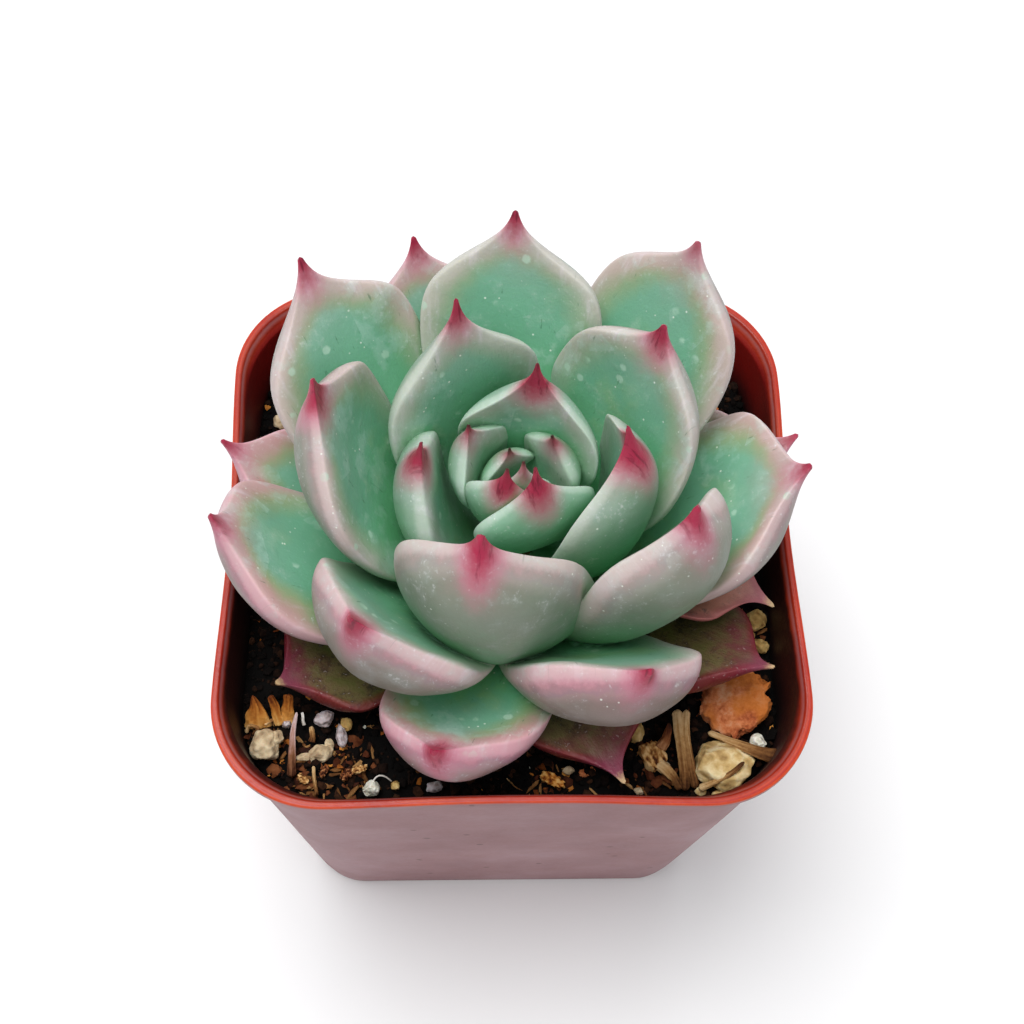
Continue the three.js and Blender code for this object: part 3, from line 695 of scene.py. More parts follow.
def square_point(turn, half, height):
    """A place on the pot's rounded square plan, at a turn about its middle."""
    corner = half * corner_ratio(height)
    straight = half - corner
    bow = RIM_BOW * max(0.0, (height / POT_HEIGHT - BOW_START) / (1 - BOW_START)) * half / POT_RIM_HALF
    quarter = round(turn / (math.pi / 2))
    part = (turn - quarter * math.pi / 2) / (math.pi / 4)
    if abs(part) <= STRAIGHT_SHARE:
        along = part / STRAIGHT_SHARE
        spot = Vector((half - bow * (1 - along ** 2) ** 2, straight * along))
    else:
        angle = (abs(part) - STRAIGHT_SHARE) / (1 - STRAIGHT_SHARE) * math.pi / 4
        spot = Vector((straight + corner * math.cos(angle), straight + corner * math.sin(angle)))
        if part < 0:
            spot.y = -spot.y
    spot.rotate(Matrix.Rotation(quarter * math.pi / 2, 2))
    return spot


def square_turned(profile, steps):
    """A closed shape spun from [half width, height, rounding] points and made square in plan."""
    bm = bmesh.new()
    corners = [bm.verts.new((half, 0, height)) for half, height, rounding in profile]
    for first, second in zip(corners, corners[1:]):
        bm.edges.new((first, second))
    for corner, (half, height, rounding) in zip(corners, profile):
        if rounding:
            bmesh.ops.bevel(
                bm, geom=[corner], offset=rounding, segments=4, profile=0.5,
                affect="VERTICES", material=-1,
            )
    bmesh.ops.spin(
        bm, geom=bm.verts[:] + bm.edges[:], cent=(0, 0, 0), axis=(0, 0, 1),
        angle=2 * math.pi, steps=steps, use_merge=True,
    )
    bmesh.ops.remove_doubles(bm, verts=bm.verts, dist=1e-5)
    kept_half = bm.verts.layers.float.new("half")
    for vert in bm.verts:
        half = math.hypot(vert.co.x, vert.co.y)
        vert[kept_half] = half
        if half > 1e-4:
            vert.co.xy = square_point(math.atan2(vert.co.y, vert.co.x), half, vert.co.z)
    turn_outward(bm)
    return bm


def without_drain_holes(piece):
    """Cuts the four round holes through the pot's floor."""
    cutter_shape = bmesh.new()
    for quarter in range(4):
        angle = quarter * math.pi / 2
        spot = Vector((DRAIN_HOLE_OFFSET * math.cos(angle), DRAIN_HOLE_OFFSET * math.sin(angle), 0))
        bmesh.ops.create_cone(
            cutter_shape, cap_ends=True, segments=DRAIN_HOLE_SIDES, radius1=DRAIN_HOLE_RADIUS * MM,
            radius2=DRAIN_HOLE_RADIUS * MM, depth=6 * POT_FLOOR * MM,
            matrix=Matrix.Translation(spot * MM),
        )
    cutter = placed("drain_holes", cutter_shape)
    cut = piece.modifiers.new("drain_holes", "BOOLEAN")
    cut.operation = "DIFFERENCE"
    cut.solver = "EXACT"
    cut.object = cutter
    graph = bpy.context.evaluated_depsgraph_get()
    holed = bpy.data.meshes.new_from_object(piece.evaluated_get(graph))
    piece.modifiers.clear()
    piece.data = holed
    bpy.data.objects.remove(cutter)


def make_pot(plastic):
    """The pot, a little uneven towards its rim, as thin moulded plastic is."""
    top_inside = POT_RIM_HALF - RIM_WIDTH
    profile = [
        (0, 0, 0),
        (FLOOR_RING, 0, 0),
        (POT_FOOT_HALF - 0.1, 0, 0.9),
        *[(wall_half(height), height, 0) for height in WALL_RINGS],
        (wall_half(UNDER_RIM), UNDER_RIM, 0.15),
        (POT_RIM_HALF, UNDER_RIM + 0.15, 0.18),
        (POT_RIM_HALF, POT_HEIGHT, 0.26),
        (between(POT_RIM_HALF, top_inside, 0.4), POT_HEIGHT - 0.03, 0),
        (top_inside, POT_HEIGHT - 0.02, 0.14),
        (inside_half(UNDER_RIM), UNDER_RIM, 0.4),
        *[(inside_half(height), height, 0) for height in reversed(WALL_RINGS)],
        (inside_half(POT_FLOOR), POT_FLOOR, 1.0),
        (FLOOR_RING, POT_FLOOR, 0),
        (0, POT_FLOOR, 0),
    ]
    bm = square_turned(profile, POT_STEPS)
    inward = bm.verts.layers.float.new("inward")
    kept_half = bm.verts.layers.float["half"]
    for vert in bm.verts:
        spot = vert.co.copy()
        middle_of_wall = wall_half(spot.z) - POT_WALL / 2
        inner_skin = vert[kept_half] < middle_of_wall and spot.z > POT_FLOOR / 2
        under_top = spot.z < POT_HEIGHT - 0.1
        vert[inward] = 1.0 if inner_skin and under_top else 0.0
        loose = held(spot.z / POT_HEIGHT) ** 2
        out = Vector((spot.x, spot.y)).normalized() if vert[kept_half] > 1 else Vector((0, 0))
        vert.co.z += 0.1 * loose * (noise.noise(spot / 15) - 0.5)
        vert.co.xy += out * loose * (0.14 * noise.noise(spot / 11 + Vector((3, 7, 1))) - 0.07)
    piece = finished("terracotta_pot", bm, plastic, "pot", "pot")
    without_drain_holes(piece)


def soil_height(x, y):
    """Height of the soil: the low relief of its solid, with finer lumps."""
    u, v = 0.55 * x, 0.6 * y
    waves = math.sin(1.7 * u + 0.9 * v) + math.sin(1.3 * v - 0.4) + math.sin(7.3 + 1.9 * u)
    lumps = noise.noise(Vector((x / 2.2, y / 2.2, 4))) + 0.5 * noise.noise(Vector((x / 0.9, y / 0.9, 9)))
    return SOIL_LEVEL + SOIL_RELIEF * waves / 3 + SOIL_LUMPS * lumps


def make_soil(earthy):
    """The soil, a closed filling with a lumpy top."""
    top = inside_half(SOIL_LEVEL) - SOIL_EDGE_GAP
    foot = inside_half(POT_FLOOR) - GAP
    low = 20
    profile = [
        (0, POT_FLOOR + GAP, 0),
        (foot, POT_FLOOR + GAP, 1.0),
        (inside_half(low) - SOIL_EDGE_GAP, low, 0),
        (top, SOIL_LEVEL - 0.4, 0),
        *[(top * (1 - (ring + 0.5) / SOIL_RINGS), SOIL_LEVEL, 0) for ring in range(SOIL_RINGS)],
        (0, SOIL_LEVEL, 0),
    ]
    bm = square_turned(profile, SOIL_STEPS)
    tint = bm.verts.layers.float.new("tint")
    for vert in bm.verts:
        vert[tint] = 0.25 + 0.3 * noise.noise(vert.co / 3)
        if vert.co.z > SOIL_LEVEL - 0.01:
            vert.co.z = soil_height(vert.co.x, vert.co.y)
    finished("potting_soil", bm, earthy, "soil", "soil")


def make_stem(barky):
    """The short stem that the leaves grow from, scarred in rings."""
    bm, marks = ball(STEM_STEPS, STEM_STEPS, "tint")
    for vert in bm.verts:
        down, around = ball_angles(vert)
        share = down / math.pi
        height = between(STEM_TOP, STEM_FOOT, share)
        radius = STEM_RADIUS * held(math.sin(math.pi * min(share * 1.3, 1) / 2)) ** 0.7
        radius *= held((1 - share) / 0.06) ** 0.5
        ring = Vector((math.cos(around), math.sin(around), 0))
        radius *= 0.97 + 0.05 * noise.noise(ring * 2 + Vector((0, 0, height / 1.4)))
        vert[marks["tint"]] = 0.5 + 0.4 * noise.noise(ring * 3 + Vector((0, 0, height)))
        vert.co = ring * radius + ROSETTE_CENTRE + Vector((0, 0, height))
    turn_outward(bm)
    finished("plant_stem", bm, barky, "stem", "stem")


# Leaves

def half_width_share(s, leaf):
    """Relative half width along a leaf, from the foot at 0 to the point at 1."""
    tiny, sharp = 1e-6, OUTLINE_SHARPNESS
    if s <= tiny or s >= 1 - tiny:
        return 0.0
    rounded = math.sqrt(1 - (1 - min(s / LEAF_FOOT_END, 1)) ** 2)
    swell = math.sin(math.pi / 2 * min(s / leaf["widest"], 1)) ** 1.25
    rising = between(LEAF_FOOT_WIDTH, 1, swell)
    past = held((s - leaf["widest"]) / (BLADE_END - leaf["widest"]))
    blade = rounded * (rising if s < leaf["widest"] else math.sqrt(1 - past ** leaf["shoulder"]))
    point = leaf["spine"] * ((1 - s) / SPINE_LENGTH) ** 2.0
    point += 2 * NEEDLE_HALF / leaf["width"] * min(1, (1 - s) / NEEDLE_TAPER) ** 0.7
    return (max(blade, tiny) ** -sharp + max(point, tiny) ** -sharp) ** (-1 / sharp)


class MiddleLine:
    """The middle line of a leaf in its upright plane, as radius and height."""

    def __init__(self, leaf):
        radius = LINE_START if leaf["reach"] > HEART_REACH else HEART_LINE_START
        start = Vector((radius, leaf["foot"]))
        end = Vector((leaf["reach"], leaf["tip"]))
        handle = LINE_HANDLE * (end - start).length
        foot_rise, tip_rise = math.radians(leaf["rise_foot"]), math.radians(leaf["rise_tip"])
        self.points = (
            start,
            start + handle * Vector((math.cos(foot_rise), math.sin(foot_rise))),
            end - handle * Vector((math.cos(tip_rise), math.sin(tip_rise))),
            end,
        )
        places = [self.place(step / LINE_STEPS) for step in range(LINE_STEPS + 1)]
        self.length = sum((second - first).length for first, second in zip(places, places[1:]))

    def place(self, s):
        """Where the line is at a share of its length."""
        a, b, c, d = self.points
        r = 1 - s
        return r ** 3 * a + 3 * r * r * s * b + 3 * r * s * s * c + s ** 3 * d

    def heading(self, s):
        """Which way the line goes there."""
        a, b, c, d = self.points
        r = 1 - s
        return (r * r * (b - a) + 2 * r * s * (c - b) + s * s * (d - c)).normalized()


def leaf_shape(name, leaf, number):
    """One thick cupped leaf: a ball whose poles are the foot and the point, drawn out to shape."""
    line = MiddleLine(leaf)
    old = name.startswith("old")
    shift = Vector((number * 7.3, number * 3.1, number * 5.7))
    bm, marks = ball(LEAF_AROUND, LEAF_ALONG, *LEAF_MARKS)
    for vert in bm.verts:
        down, around = ball_angles(vert)
        s = math.sin(down / 2) ** 1.1
        share = half_width_share(s, leaf)
        half = leaf["width"] / 2 * share
        thick = leaf["thickness"] * share ** 0.75
        azimuth = math.radians(leaf["azimuth"] + leaf["sweep"] * (s - 1))
        out = Vector((math.cos(azimuth), math.sin(azimuth), 0))
        side = Vector((-math.sin(azimuth), math.cos(azimuth), 0))
        place = line.place(s)
        heading = line.heading(s)
        inward = out * -heading.y + Vector((0, 0, heading.x))
        twist = math.radians(leaf["twist"]) * s
        across = side * math.cos(twist) + inward * math.sin(twist)
        face = inward * math.cos(twist) - side * math.sin(twist)
        belly = math.sin(around)
        depth = FACE_SHARE * thick * belly if belly > 0 else -BACK_SHARE * thick * abs(belly) ** 0.9
        cup = leaf["cup"] * min(1, s / 0.5) * half * math.cos(around) ** 2
        offset = half * math.cos(around)
        drawn_out = held((s - NEEDLE_START) / (1 - NEEDLE_START)) ** 2
        place += heading * NEEDLE_REACH * drawn_out * min(1, leaf["width"] / NEEDLE_FULL_WIDTH)
        middle = out * place.x + Vector((0, 0, place.y)) + ROSETTE_CENTRE
        ripple = 0.05 * thick * noise.noise(Vector((offset / 4, s * line.length / 6, belly)) + shift)
        if old:
            folds = noise.noise(Vector((offset / 1.3, s * line.length / 5, 2 * belly)) + shift)
            ripple += 0.3 * share * folds
        from_tip = (1 - s) * line.length
        values = {
            "edge": half * (1 - abs(math.cos(around))) * (1 if belly >= 0 else -1),
            "along": s,
            "tip": math.hypot(from_tip, 0.9 * offset),
            "spot": math.hypot(0.78 * from_tip, 1.6 * offset),
            "across": offset,
            "blush": leaf["blush"],
            "warmth": leaf["warmth"],
            "red": leaf["red"],
            "seed": number * 11.7,
            "hollow": 0.0,
        }
        for mark, layer in marks.items():
            vert[layer] = values[mark]
        vert.co = middle + across * offset + face * (cup + depth + ripple)
    turn_outward(bm)
    return bm


def mark_hollows(shapes):
    """Marks how much of each leaf's outlook the leaves about it close off, for painted shade."""
    whole = bmesh.new()
    for shape in shapes:
        add_copy(whole, shape)
    tree = BVHTree.FromBMesh(whole)
    whole.free()
    golden = math.pi * (3 - math.sqrt(5))
    rays = []
    for step in range(HOLLOW_RAYS):
        z = 1 - 2 * (step + 0.5) / HOLLOW_RAYS
        wide = math.sqrt(1 - z * z)
        rays.append(Vector((wide * math.cos(golden * step), wide * math.sin(golden * step), z)))
    for shape in shapes:
        hollow = shape.verts.layers.float["hollow"]
        shape.normal_update()
        for vert in shape.verts:
            start = vert.co + vert.normal * HOLLOW_START
            closed, weight = 0.0, 0.0
            for ray in rays:
                outlook = ray.dot(vert.normal)
                if outlook < HOLLOW_GRAZING:
                    continue
                weight += outlook
                distance = tree.ray_cast(start, ray, HOLLOW_REACH)[3]
                if distance is not None:
                    closed += outlook * (1 - distance / HOLLOW_REACH)
            vert[hollow] = closed / weight


def make_leaves():
    """All the leaves, each as a piece of its own."""
    fresh, old = leaf_skin(), old_leaf_skin()
    leaves = {name: dict(zip(LEAF_FIELDS, row)) for name, row in LEAVES.items()}
    shapes = {
        name: leaf_shape(name, leaf, number) for number, (name, leaf) in enumerate(leaves.items())
    }
    mark_hollows(list(shapes.values()))
    for name, shape in shapes.items():
        ageing = name.startswith("old")
        skin, slot = (old, "old_leaf") if ageing else (fresh, "leaf")
        finished("blade_" + name, shape, skin, slot, "leaf_" + name)


# Loose stones, chips and sticks on the soil, by name. For a stone: the node that it stands for or
# "", its middle, half sizes, turn, how broken it is, with three flat faces for each step, and the
# finish.

STONES = {
    "pumice_lump": ("pumice_front_right", (20.4, -22.7, 47.5), (3.2, 2.7, 1.9), 8, 9, "pumice"),
    "perlite_cream": ("perlite_front_left", (-23.9, -20.4, 47.3), (1.55, 1.65, 1.5), 20, 5, "cream"),
    "cream_lobe": ("", (-22.9, -19.7, 47.6), (0.8, 0.7, 0.7), 60, 3, "cream"),
    "perlite_white": ("perlite_front_1", (-13.6, -24.6, 46.9), (0.85, 0.8, 0.8), 40, 3, "perlite"),
    "perlite_armed": ("perlite_front_2", (-18.6, -21.1, 47.1), (1.3, 0.9, 0.95), 30, 5, "cream"),
    "perlite_arm": ("", (-20.1, -21.4, 46.9), (0.85, 0.42, 0.4), 12, 3, "cream"),
    "perlite_arm_up": ("", (-17.8, -20.2, 47.0), (0.5, 0.6, 0.5), 12, 3, "cream"),
    "perlite_behind": ("perlite_back_left", (-23.9, 15.9, 47.2), (1.2, 1.1, 1.1), 30, 4, "cream"),
    "perlite_small_behind": ("", (-22.4, 13.9, 46.6), (0.6, 0.5, 0.5), 0, 3, "cream"),
    "bean_right": ("perlite_right", (25.0, -7.3, 47.0), (1.2, 1.1, 1.0), 25, 2, "bean"),
    "bean_lower": ("", (25.4, -10.1, 46.7), (1.1, 0.8, 0.8), -40, 5, "bean"),
    "bean_inner": ("", (24.3, -8.9, 46.6), (0.7, 0.6, 0.6), 10, 3, "bean"),
    "lilac_lump": ("", (-18.3, -17.6, 47.1), (1.05, 0.8, 0.75), 15, 4, "lilac"),
    "lilac_lower": ("", (-16.7, -19.3, 46.9), (0.6, 1.2, 0.6), 10, 4, "lilac"),
    "brown_bit_1": ("", (-16.2, -18.1, 47.0), (0.6, 0.7, 0.5), 10, 5, "bean"),
    "green_white": ("", (24.0, -20.4, 47.8), (0.85, 0.8, 0.75), 0, 3, "perlite"),
    "block_pale": ("", (12.2, -19.2, 47.2), (0.85, 1.3, 0.9), -8, 7, "bean"),
    "tan_cube": ("", (-11.3, -24.4, 47.1), (0.48, 0.5, 0.5), 30, 6, "bean"),
    "bead_front": ("", (15.0, -22.6, 46.8), (0.5, 0.55, 0.5), 0, 3, "cream"),
    "low_lump_1": ("", (20.3, -25.3, 46.7), (1.1, 0.5, 0.7), 8, 5, "pumice"),
    "low_lump_2": ("", (18.2, -25.0, 46.6), (0.6, 0.5, 0.5), 0, 5, "pumice"),
    "low_lump_3": ("", (12.2, -24.9, 46.4), (0.5, 0.4, 0.45), 0, 4, "cream"),
    "crumb_under_leaf": ("", (-7.6, -24.3, 46.6), (0.9, 0.6, 0.55), 10, 4, "lilac"),
    "crumb_front": ("", (5.4, -22.9, 46.7), (0.6, 0.5, 0.5), 0, 4, "cream"),
}
# For a chip: the node, middle, size, turn, lean about X and Y, how ragged, and the finish
CHIPS = {
    "bark_slab": ("bark_chip_right", (21.9, -16.2, 47.7), (6.6, 6.6, 1.5), -38, (10, -12), 1.0, "bark"),
    "bark_arm": ("bark_chip_front", (13.7, -21.6, 47.2), (2.2, 3.0, 1.2), 25, (-8, 6), 0.6, "tan"),
    "bark_behind": ("bark_chip_back", (20.9, 17.6, 47.3), (4.6, 3.2, 1.2), 35, (8, -12), 1.0, "bark"),
    "sliver_end": ("", (-22.0, -18.1, 46.9), (0.8, 0.6, 0.8), 12, (0, 20), 0.6, "lilac"),
    "bark_under_1": ("", (3.9, -23.8, 46.7), (2.4, 1.1, 0.7), -30, (6, 0), 1.0, "ochre"),
    "bark_under_2": ("", (7.2, -23.0, 46.5), (1.6, 0.8, 0.6), 20, (0, 8), 1.0, "bark"),
    "brown_lobe_1": ("", (-16.0, -23.2, 46.9), (1.3, 0.8, 0.7), 35, (6, 0), 1.0, "rust"),
    "brown_lobe_2": ("", (-14.8, -22.7, 47.0), (1.5, 0.7, 0.6), 20, (0, 12), 1.0, "tan"),
    "brown_lobe_3": ("", (-20.2, -23.6, 46.9), (1.2, 0.7, 0.6), -40, (0, 12), 1.0, "tan"),
    "brown_lobe_4": ("", (-18.2, -22.9, 46.9), (1.2, 0.6, 0.6), 60, (0, 12), 1.0, "rust"),
}
# For a stick: the node, its points from one end to the other, the radii at both ends, how flat it
# is, and the finish
STICKS = {
    "sliver_1": ("bark_chip_left", ((-24.9, -18.2, 46.4), (-24.9, -17.6, 47.4), (-24.9, -16.9, 48.6),
                                    (-25.1, -16.1, 49.8)), (1.25, 0.1), 0.4, "ochre"),
    "sliver_2": ("", ((-22.7, -18.0, 46.4), (-22.9, -17.4, 47.3), (-23.1, -16.7, 48.4),
                      (-23.5, -16.0, 49.4)), (0.5, 0.3), 0.5, "ochre"),
    "sliver_3": ("", ((-21.9, -17.9, 46.4), (-21.9, -17.3, 47.3), (-21.8, -16.6, 48.4),
                      (-21.7, -15.9, 49.4)), (0.65, 0.4), 0.5, "ochre"),
    "twig_mauve": ("twig_left", ((-20.9, -17.4, 48.6), (-21.2, -19.2, 48.2), (-21.3, -21.3, 47.5),
                                 (-21.3, -23.4, 46.8)), (0.16, 0.5), 0.7, "mauve"),
    "twig_double_1": ("twig_right", ((16.2, -17.3, 48.5), (16.3, -19.8, 48.2), (16.6, -22.8, 47.6),
                                     (16.7, -25.0, 46.8)), (0.5, 0.42), 0.6, "straw"),
    "twig_double_2": ("", ((17.1, -17.3, 48.4), (16.9, -19.8, 48.3), (17.3, -22.6, 47.6),
                           (17.7, -24.8, 46.8)), (0.34, 0.42), 0.7, "straw"),
    "twig_flared": ("", ((19.2, -19.3, 47.4), (21.4, -20.5, 48.0), (23.6, -21.6, 48.6),
                         (25.5, -22.3, 48.9)), (0.28, 0.8), 0.45, "straw"),
    "twig_crease": ("", ((17.9, -25.0, 47.4), (19.3, -24.6, 48.2), (20.9, -23.9, 49.0),
                         (22.2, -22.9, 49.3)), (0.34, 0.16), 0.6, "straw"),
    "bark_arm_end": ("", ((14.0, -22.4, 47.6), (15.0, -23.2, 47.5), (15.7, -24.0, 47.2),
                          (16.2, -24.9, 46.8)), (0.55, 0.3), 0.6, "straw"),
    "bark_arm_horn": ("", ((14.4, -21.0, 47.4), (14.9, -20.2, 48.0), (15.2, -19.3, 48.5),
                           (15.2, -18.8, 48.9)), (0.55, 0.1), 0.7, "rust"),
    "stick_tan": ("", ((-19.2, -22.4, 47.3), (-19.1, -23.6, 47.2), (-18.9, -24.6, 47.0),
                       (-18.8, -25.2, 46.9)), (0.16, 0.2), 0.8, "straw"),
    "splinter_white": ("", ((-20.5, -17.1, 47.6), (-20.4, -17.5, 47.5), (-20.4, -17.9, 47.3),
                            (-20.3, -18.3, 47.1)), (0.12, 0.16), 0.8, "chalk"),
    "splinter_tan": ("", ((-19.6, -18.4, 47.0), (-19.5, -18.9, 47.2), (-19.4, -19.5, 47.3),
                          (-19.5, -20.0, 47.1)), (0.2, 0.34), 0.8, "straw"),
    "splinter_low": ("", ((-24.2, -18.1, 47.0), (-23.8, -17.9, 47.1), (-23.4, -17.7, 47.1),
                          (-23.0, -17.4, 47.0)), (0.2, 0.12), 0.8, "straw"),
    "curl_ring": ("", ((-25.9, -18.9, 46.8), (-25.6, -18.4, 47.4), (-24.7, -18.7, 47.6),
                       (-25.2, -19.3, 47.3)), (0.18, 0.16), 0.9, "straw"),
    "fibre_white": ("", ((-13.7, -24.3, 47.2), (-13.0, -23.6, 47.7), (-12.3, -23.6, 47.6),
                         (-11.6, -24.0, 47.2)), (0.08, 0.07), 1.0, "chalk"),
    "fibre_front": ("", ((-0.6, -23.6, 46.8), (-0.2, -24.2, 47.3), (0.2, -24.8, 47.8),
                         (0.9, -25.2, 48.0)), (0.06, 0.05), 1.0, "straw"),
}
# Where the random numbers of stones and chips start, and how finely both are cut
STONE_SEED = 100
CHIP_SEED = 300
STONE_SUBDIVISIONS = 5
CHIP_CUTS = 22
# The mesh of a stick, round it and along it. One thinner than this is a fibre, with a coarser mesh.
STICK_STEPS = (32, 64)
FIBRE_STEPS = (10, 24)
FIBRE_RADIUS = 0.13


def tilted(bm, at, turn, lean=(0, 0)):
    """Leans a shape about X and Y, turns it about Z and puts it in its place."""
    turning = Matrix.Rotation(math.radians(turn), 4, "Z")
    leaning_x = Matrix.Rotation(math.radians(lean[0]), 4, "X")
    leaning_y = Matrix.Rotation(math.radians(lean[1]), 4, "Y")
    moved = Matrix.Translation(at) @ turning @ (leaning_y @ leaning_x)
    bmesh.ops.transform(bm, matrix=moved, verts=bm.verts)


def stone_shape(number, at, half, turn, breaks):
    """A broken stone: a ball cut by flat faces, rough and pitted."""
    rng = random.Random(STONE_SEED + number)
    planes = []
    for _ in range(breaks * 3):
        normal = Vector([rng.uniform(-1, 1) for _ in range(3)]).normalized()
        planes.append((normal, rng.uniform(0.68, 0.92)))
    shift = Vector([rng.uniform(0, 50) for _ in range(3)])
    bm = bmesh.new()
    bmesh.ops.create_icosphere(bm, subdivisions=STONE_SUBDIVISIONS, radius=1)
    tint = bm.verts.layers.float.new("tint")
    for vert in bm.verts:
        spot = vert.co.copy()
        for normal, reach in planes:
            over = spot.dot(normal) - reach
            if over > 0:
                spot -= normal * over * 0.92
        rough = noise.fractal(spot * 1.6 + shift, 0.8, 2.1, 5)
        pit = noise.voronoi(spot * 4.5 + shift)[0][0]
        spot *= 1 + 0.1 * rough - 0.16 * max(0.0, 0.32 - pit)
        vert[tint] = 0.5 + rough
        vert.co = Vector((spot.x * half[0], spot.y * half[1], spot.z * half[2]))
    tilted(bm, at, turn)
    return bm


def chip_shape(number, at, size, turn, lean, ragged):
    """A torn chip: a block cut fine, with layered faces and splintered ends."""
    rng = random.Random(CHIP_SEED + number)
    shift = Vector([rng.uniform(0, 50) for _ in range(3)])
    bm = bmesh.new()
    bmesh.ops.create_cube(bm, size=1)
    bmesh.ops.subdivide_edges(bm, edges=bm.edges, cuts=CHIP_CUTS, use_grid_fill=True)
    tint = bm.verts.layers.float.new("tint")
    for vert in bm.verts:
        x, y, z = vert.co
        round_in = 1 - 0.32 * abs(2 * x) ** 3 * abs(2 * y) ** 3
        torn = noise.fractal(Vector((x * 5, y * 3, 0.6 * z)) + shift, 0.7, 2.2, 4)
        end = noise.noise(Vector((x * 9, 7, 0.4 * z)) + shift) * abs(2 * y) ** 4
        layer = math.floor(3 * noise.noise(Vector((x * 3, y * 1.4, 3)) + shift) + 0.5) / 3
        thin = 1 - 0.45 * max(abs(2 * x), abs(2 * y)) ** 3
        vert[tint] = 0.5 + torn
        vert.co = Vector((
            x * size[0] * (round_in + 0.2 * ragged * torn),
            y * size[1] * (round_in + 0.12 * ragged * torn + 0.3 * ragged * end),
            z * size[2] * (thin + 0.35 * ragged * layer + 0.3 * ragged * torn),
        ))
    turn_outward(bm)
    tilted(bm, at, turn, lean)
    return bm


def curve_place(points, share):
    """A place on the smooth curve through four points."""
    span = len(points) - 1
    first = min(int(share * span), span - 1)
    part = share * span - first
    a, b = Vector(points[first]), Vector(points[first + 1])
    before = Vector(points[first - 1]) if first > 0 else a * 2 - b
    after = Vector(points[first + 2]) if first + 2 <= span else b * 2 - a
    out, back = (b - before) / 2, (after - a) / 2
    p, q = part * part, part ** 3
    return a * (2 * q - 3 * p + 1) + out * (q - 2 * p + part) + b * (3 * p - 2 * q) + back * (q - p)


def stick_shape(number, points, radii, flat):
    """A split stick or fibre: a ball drawn out along its curve, with grooves along its length."""
    shift = Vector((number * 5.1, number * 2.3, 1.7))
    steps = FIBRE_STEPS if max(radii) < FIBRE_RADIUS else STICK_STEPS
    bm, marks = ball(*steps, "tint")
    for vert in bm.verts:
        down, around = ball_angles(vert)
        share = down / math.pi
        place = curve_place(points, share)
        behind = curve_place(points, max(share - 0.01, 0))
        ahead = curve_place(points, min(share + 0.01, 1))
        heading = (ahead - behind).normalized()
        side = heading.cross(Vector((0, 0, 1))).normalized()
        top = side.cross(heading)
        ends = held(min(share, 1 - share) / 0.05) ** 0.5
        radius = between(radii[0], radii[1], share ** 1.5) * ends
        ring = Vector((math.cos(around), math.sin(around), 0))
        groove = noise.fractal(ring * 2.2 + Vector((0, 0, share * 2)) + shift, 0.8, 2.1, 3)
        frayed = 0.3 * noise.noise(ring * 3 + shift) * (abs(2 * share - 1) ** 6)
        radius *= 1 + 0.3 * groove + frayed
        vert[marks["tint"]] = 1 - share + 0.3 * groove
        vert.co = place + side * radius * ring.x + top * radius * flat * ring.y
    turn_outward(bm)
    return bm


# The litter of the soil: small shapes in their thousands, each of twenty faces. The heaps are the
# places where broken bark lies together, with how far it spreads.

BARK_HEAPS = (
    (-19.8, -23.4, 1.5),
    (-20.6, -21.6, 1.2),
    (-15.2, -23.3, 1.2),
    (-16.4, -20.8, 1.2),
    (-24.6, -18.4, 0.9),
    (13.8, -23.4, 1.4),
    (18.0, -24.6, 1.5),
    (24.4, -9.4, 0.9),
    (3.0, -23.8, 1.6),
)
# How near the wall litter lies, as a share, how far from the stem, and how much is made at a time
LITTER_REACH = 0.985
LITTER_STEM_GAP = 1.5
LITTER_BATCH = 150


def soil_spot(rng, heaps=()):
    """A place on the open soil or in one of the heaps, anywhere but under the stem."""
    half = inside_half(SOIL_LEVEL) * LITTER_REACH
    corner = half * corner_ratio(SOIL_LEVEL) * 0.95
    while True:
        if heaps:
            heap_x, heap_y, spread = rng.choice(heaps)
            x, y = rng.gauss(heap_x, spread), rng.gauss(heap_y, spread)
        else:
            x, y = rng.uniform(-half, half), rng.uniform(-half, half)
        over = Vector((max(abs(x) - half + corner, 0), max(abs(y) - half + corner, 0)))
        inside = over.length < corner and max(abs(x), abs(y)) < half
        if inside and math.hypot(x, y - ROSETTE_CENTRE.y) > STEM_RADIUS + LITTER_STEM_GAP:
            return x, y


def litter(name, seed, count, sizes, shape, skin, slot, sunk=0.2, tints=(0, 1), heaps=()):
    """Scatters one kind of crumb as one piece, over the soil or in heaps of (x, y, spread)."""
    rng = random.Random(seed)
    whole = bmesh.new()
    tint = whole.verts.layers.float.new("tint")
    done = 0
    while done < count:
        batch = bmesh.new()
        batch_tint = batch.verts.layers.float.new("tint")
        for _ in range(min(LITTER_BATCH, count - done)):
            x, y = soil_spot(rng, heaps)
            size = between(*sizes, rng.random() ** 2.2)
            turned = Matrix.Rotation(rng.uniform(0, math.tau), 4, "Z")
            leaned = Matrix.Rotation(rng.uniform(-0.6, 0.6), 4, "X")
            rolled = Matrix.Rotation(rng.uniform(-0.5, 0.5), 4, "Y")
            spin = turned @ leaned @ rolled
            stretch = [size * rng.uniform(*span) for span in shape]
            spot = Vector((x, y, soil_height(x, y) + stretch[2] * (1 - 2 * sunk)))
            made = bmesh.ops.create_icosphere(batch, subdivisions=1, radius=1)["verts"]
            own = rng.uniform(*tints)
            for vert in made:
                lump = 1 + rng.uniform(-0.34, 0.34)
                vert[batch_tint] = own + rng.uniform(-0.08, 0.08)
                vert.co = spot + spin @ Vector([c * s * lump for c, s in zip(vert.co, stretch)])
            done += 1
        add_copy(whole, batch)
        batch.free()
    piece = finished(name, whole, skin, slot)
    piece.data.shade_flat()


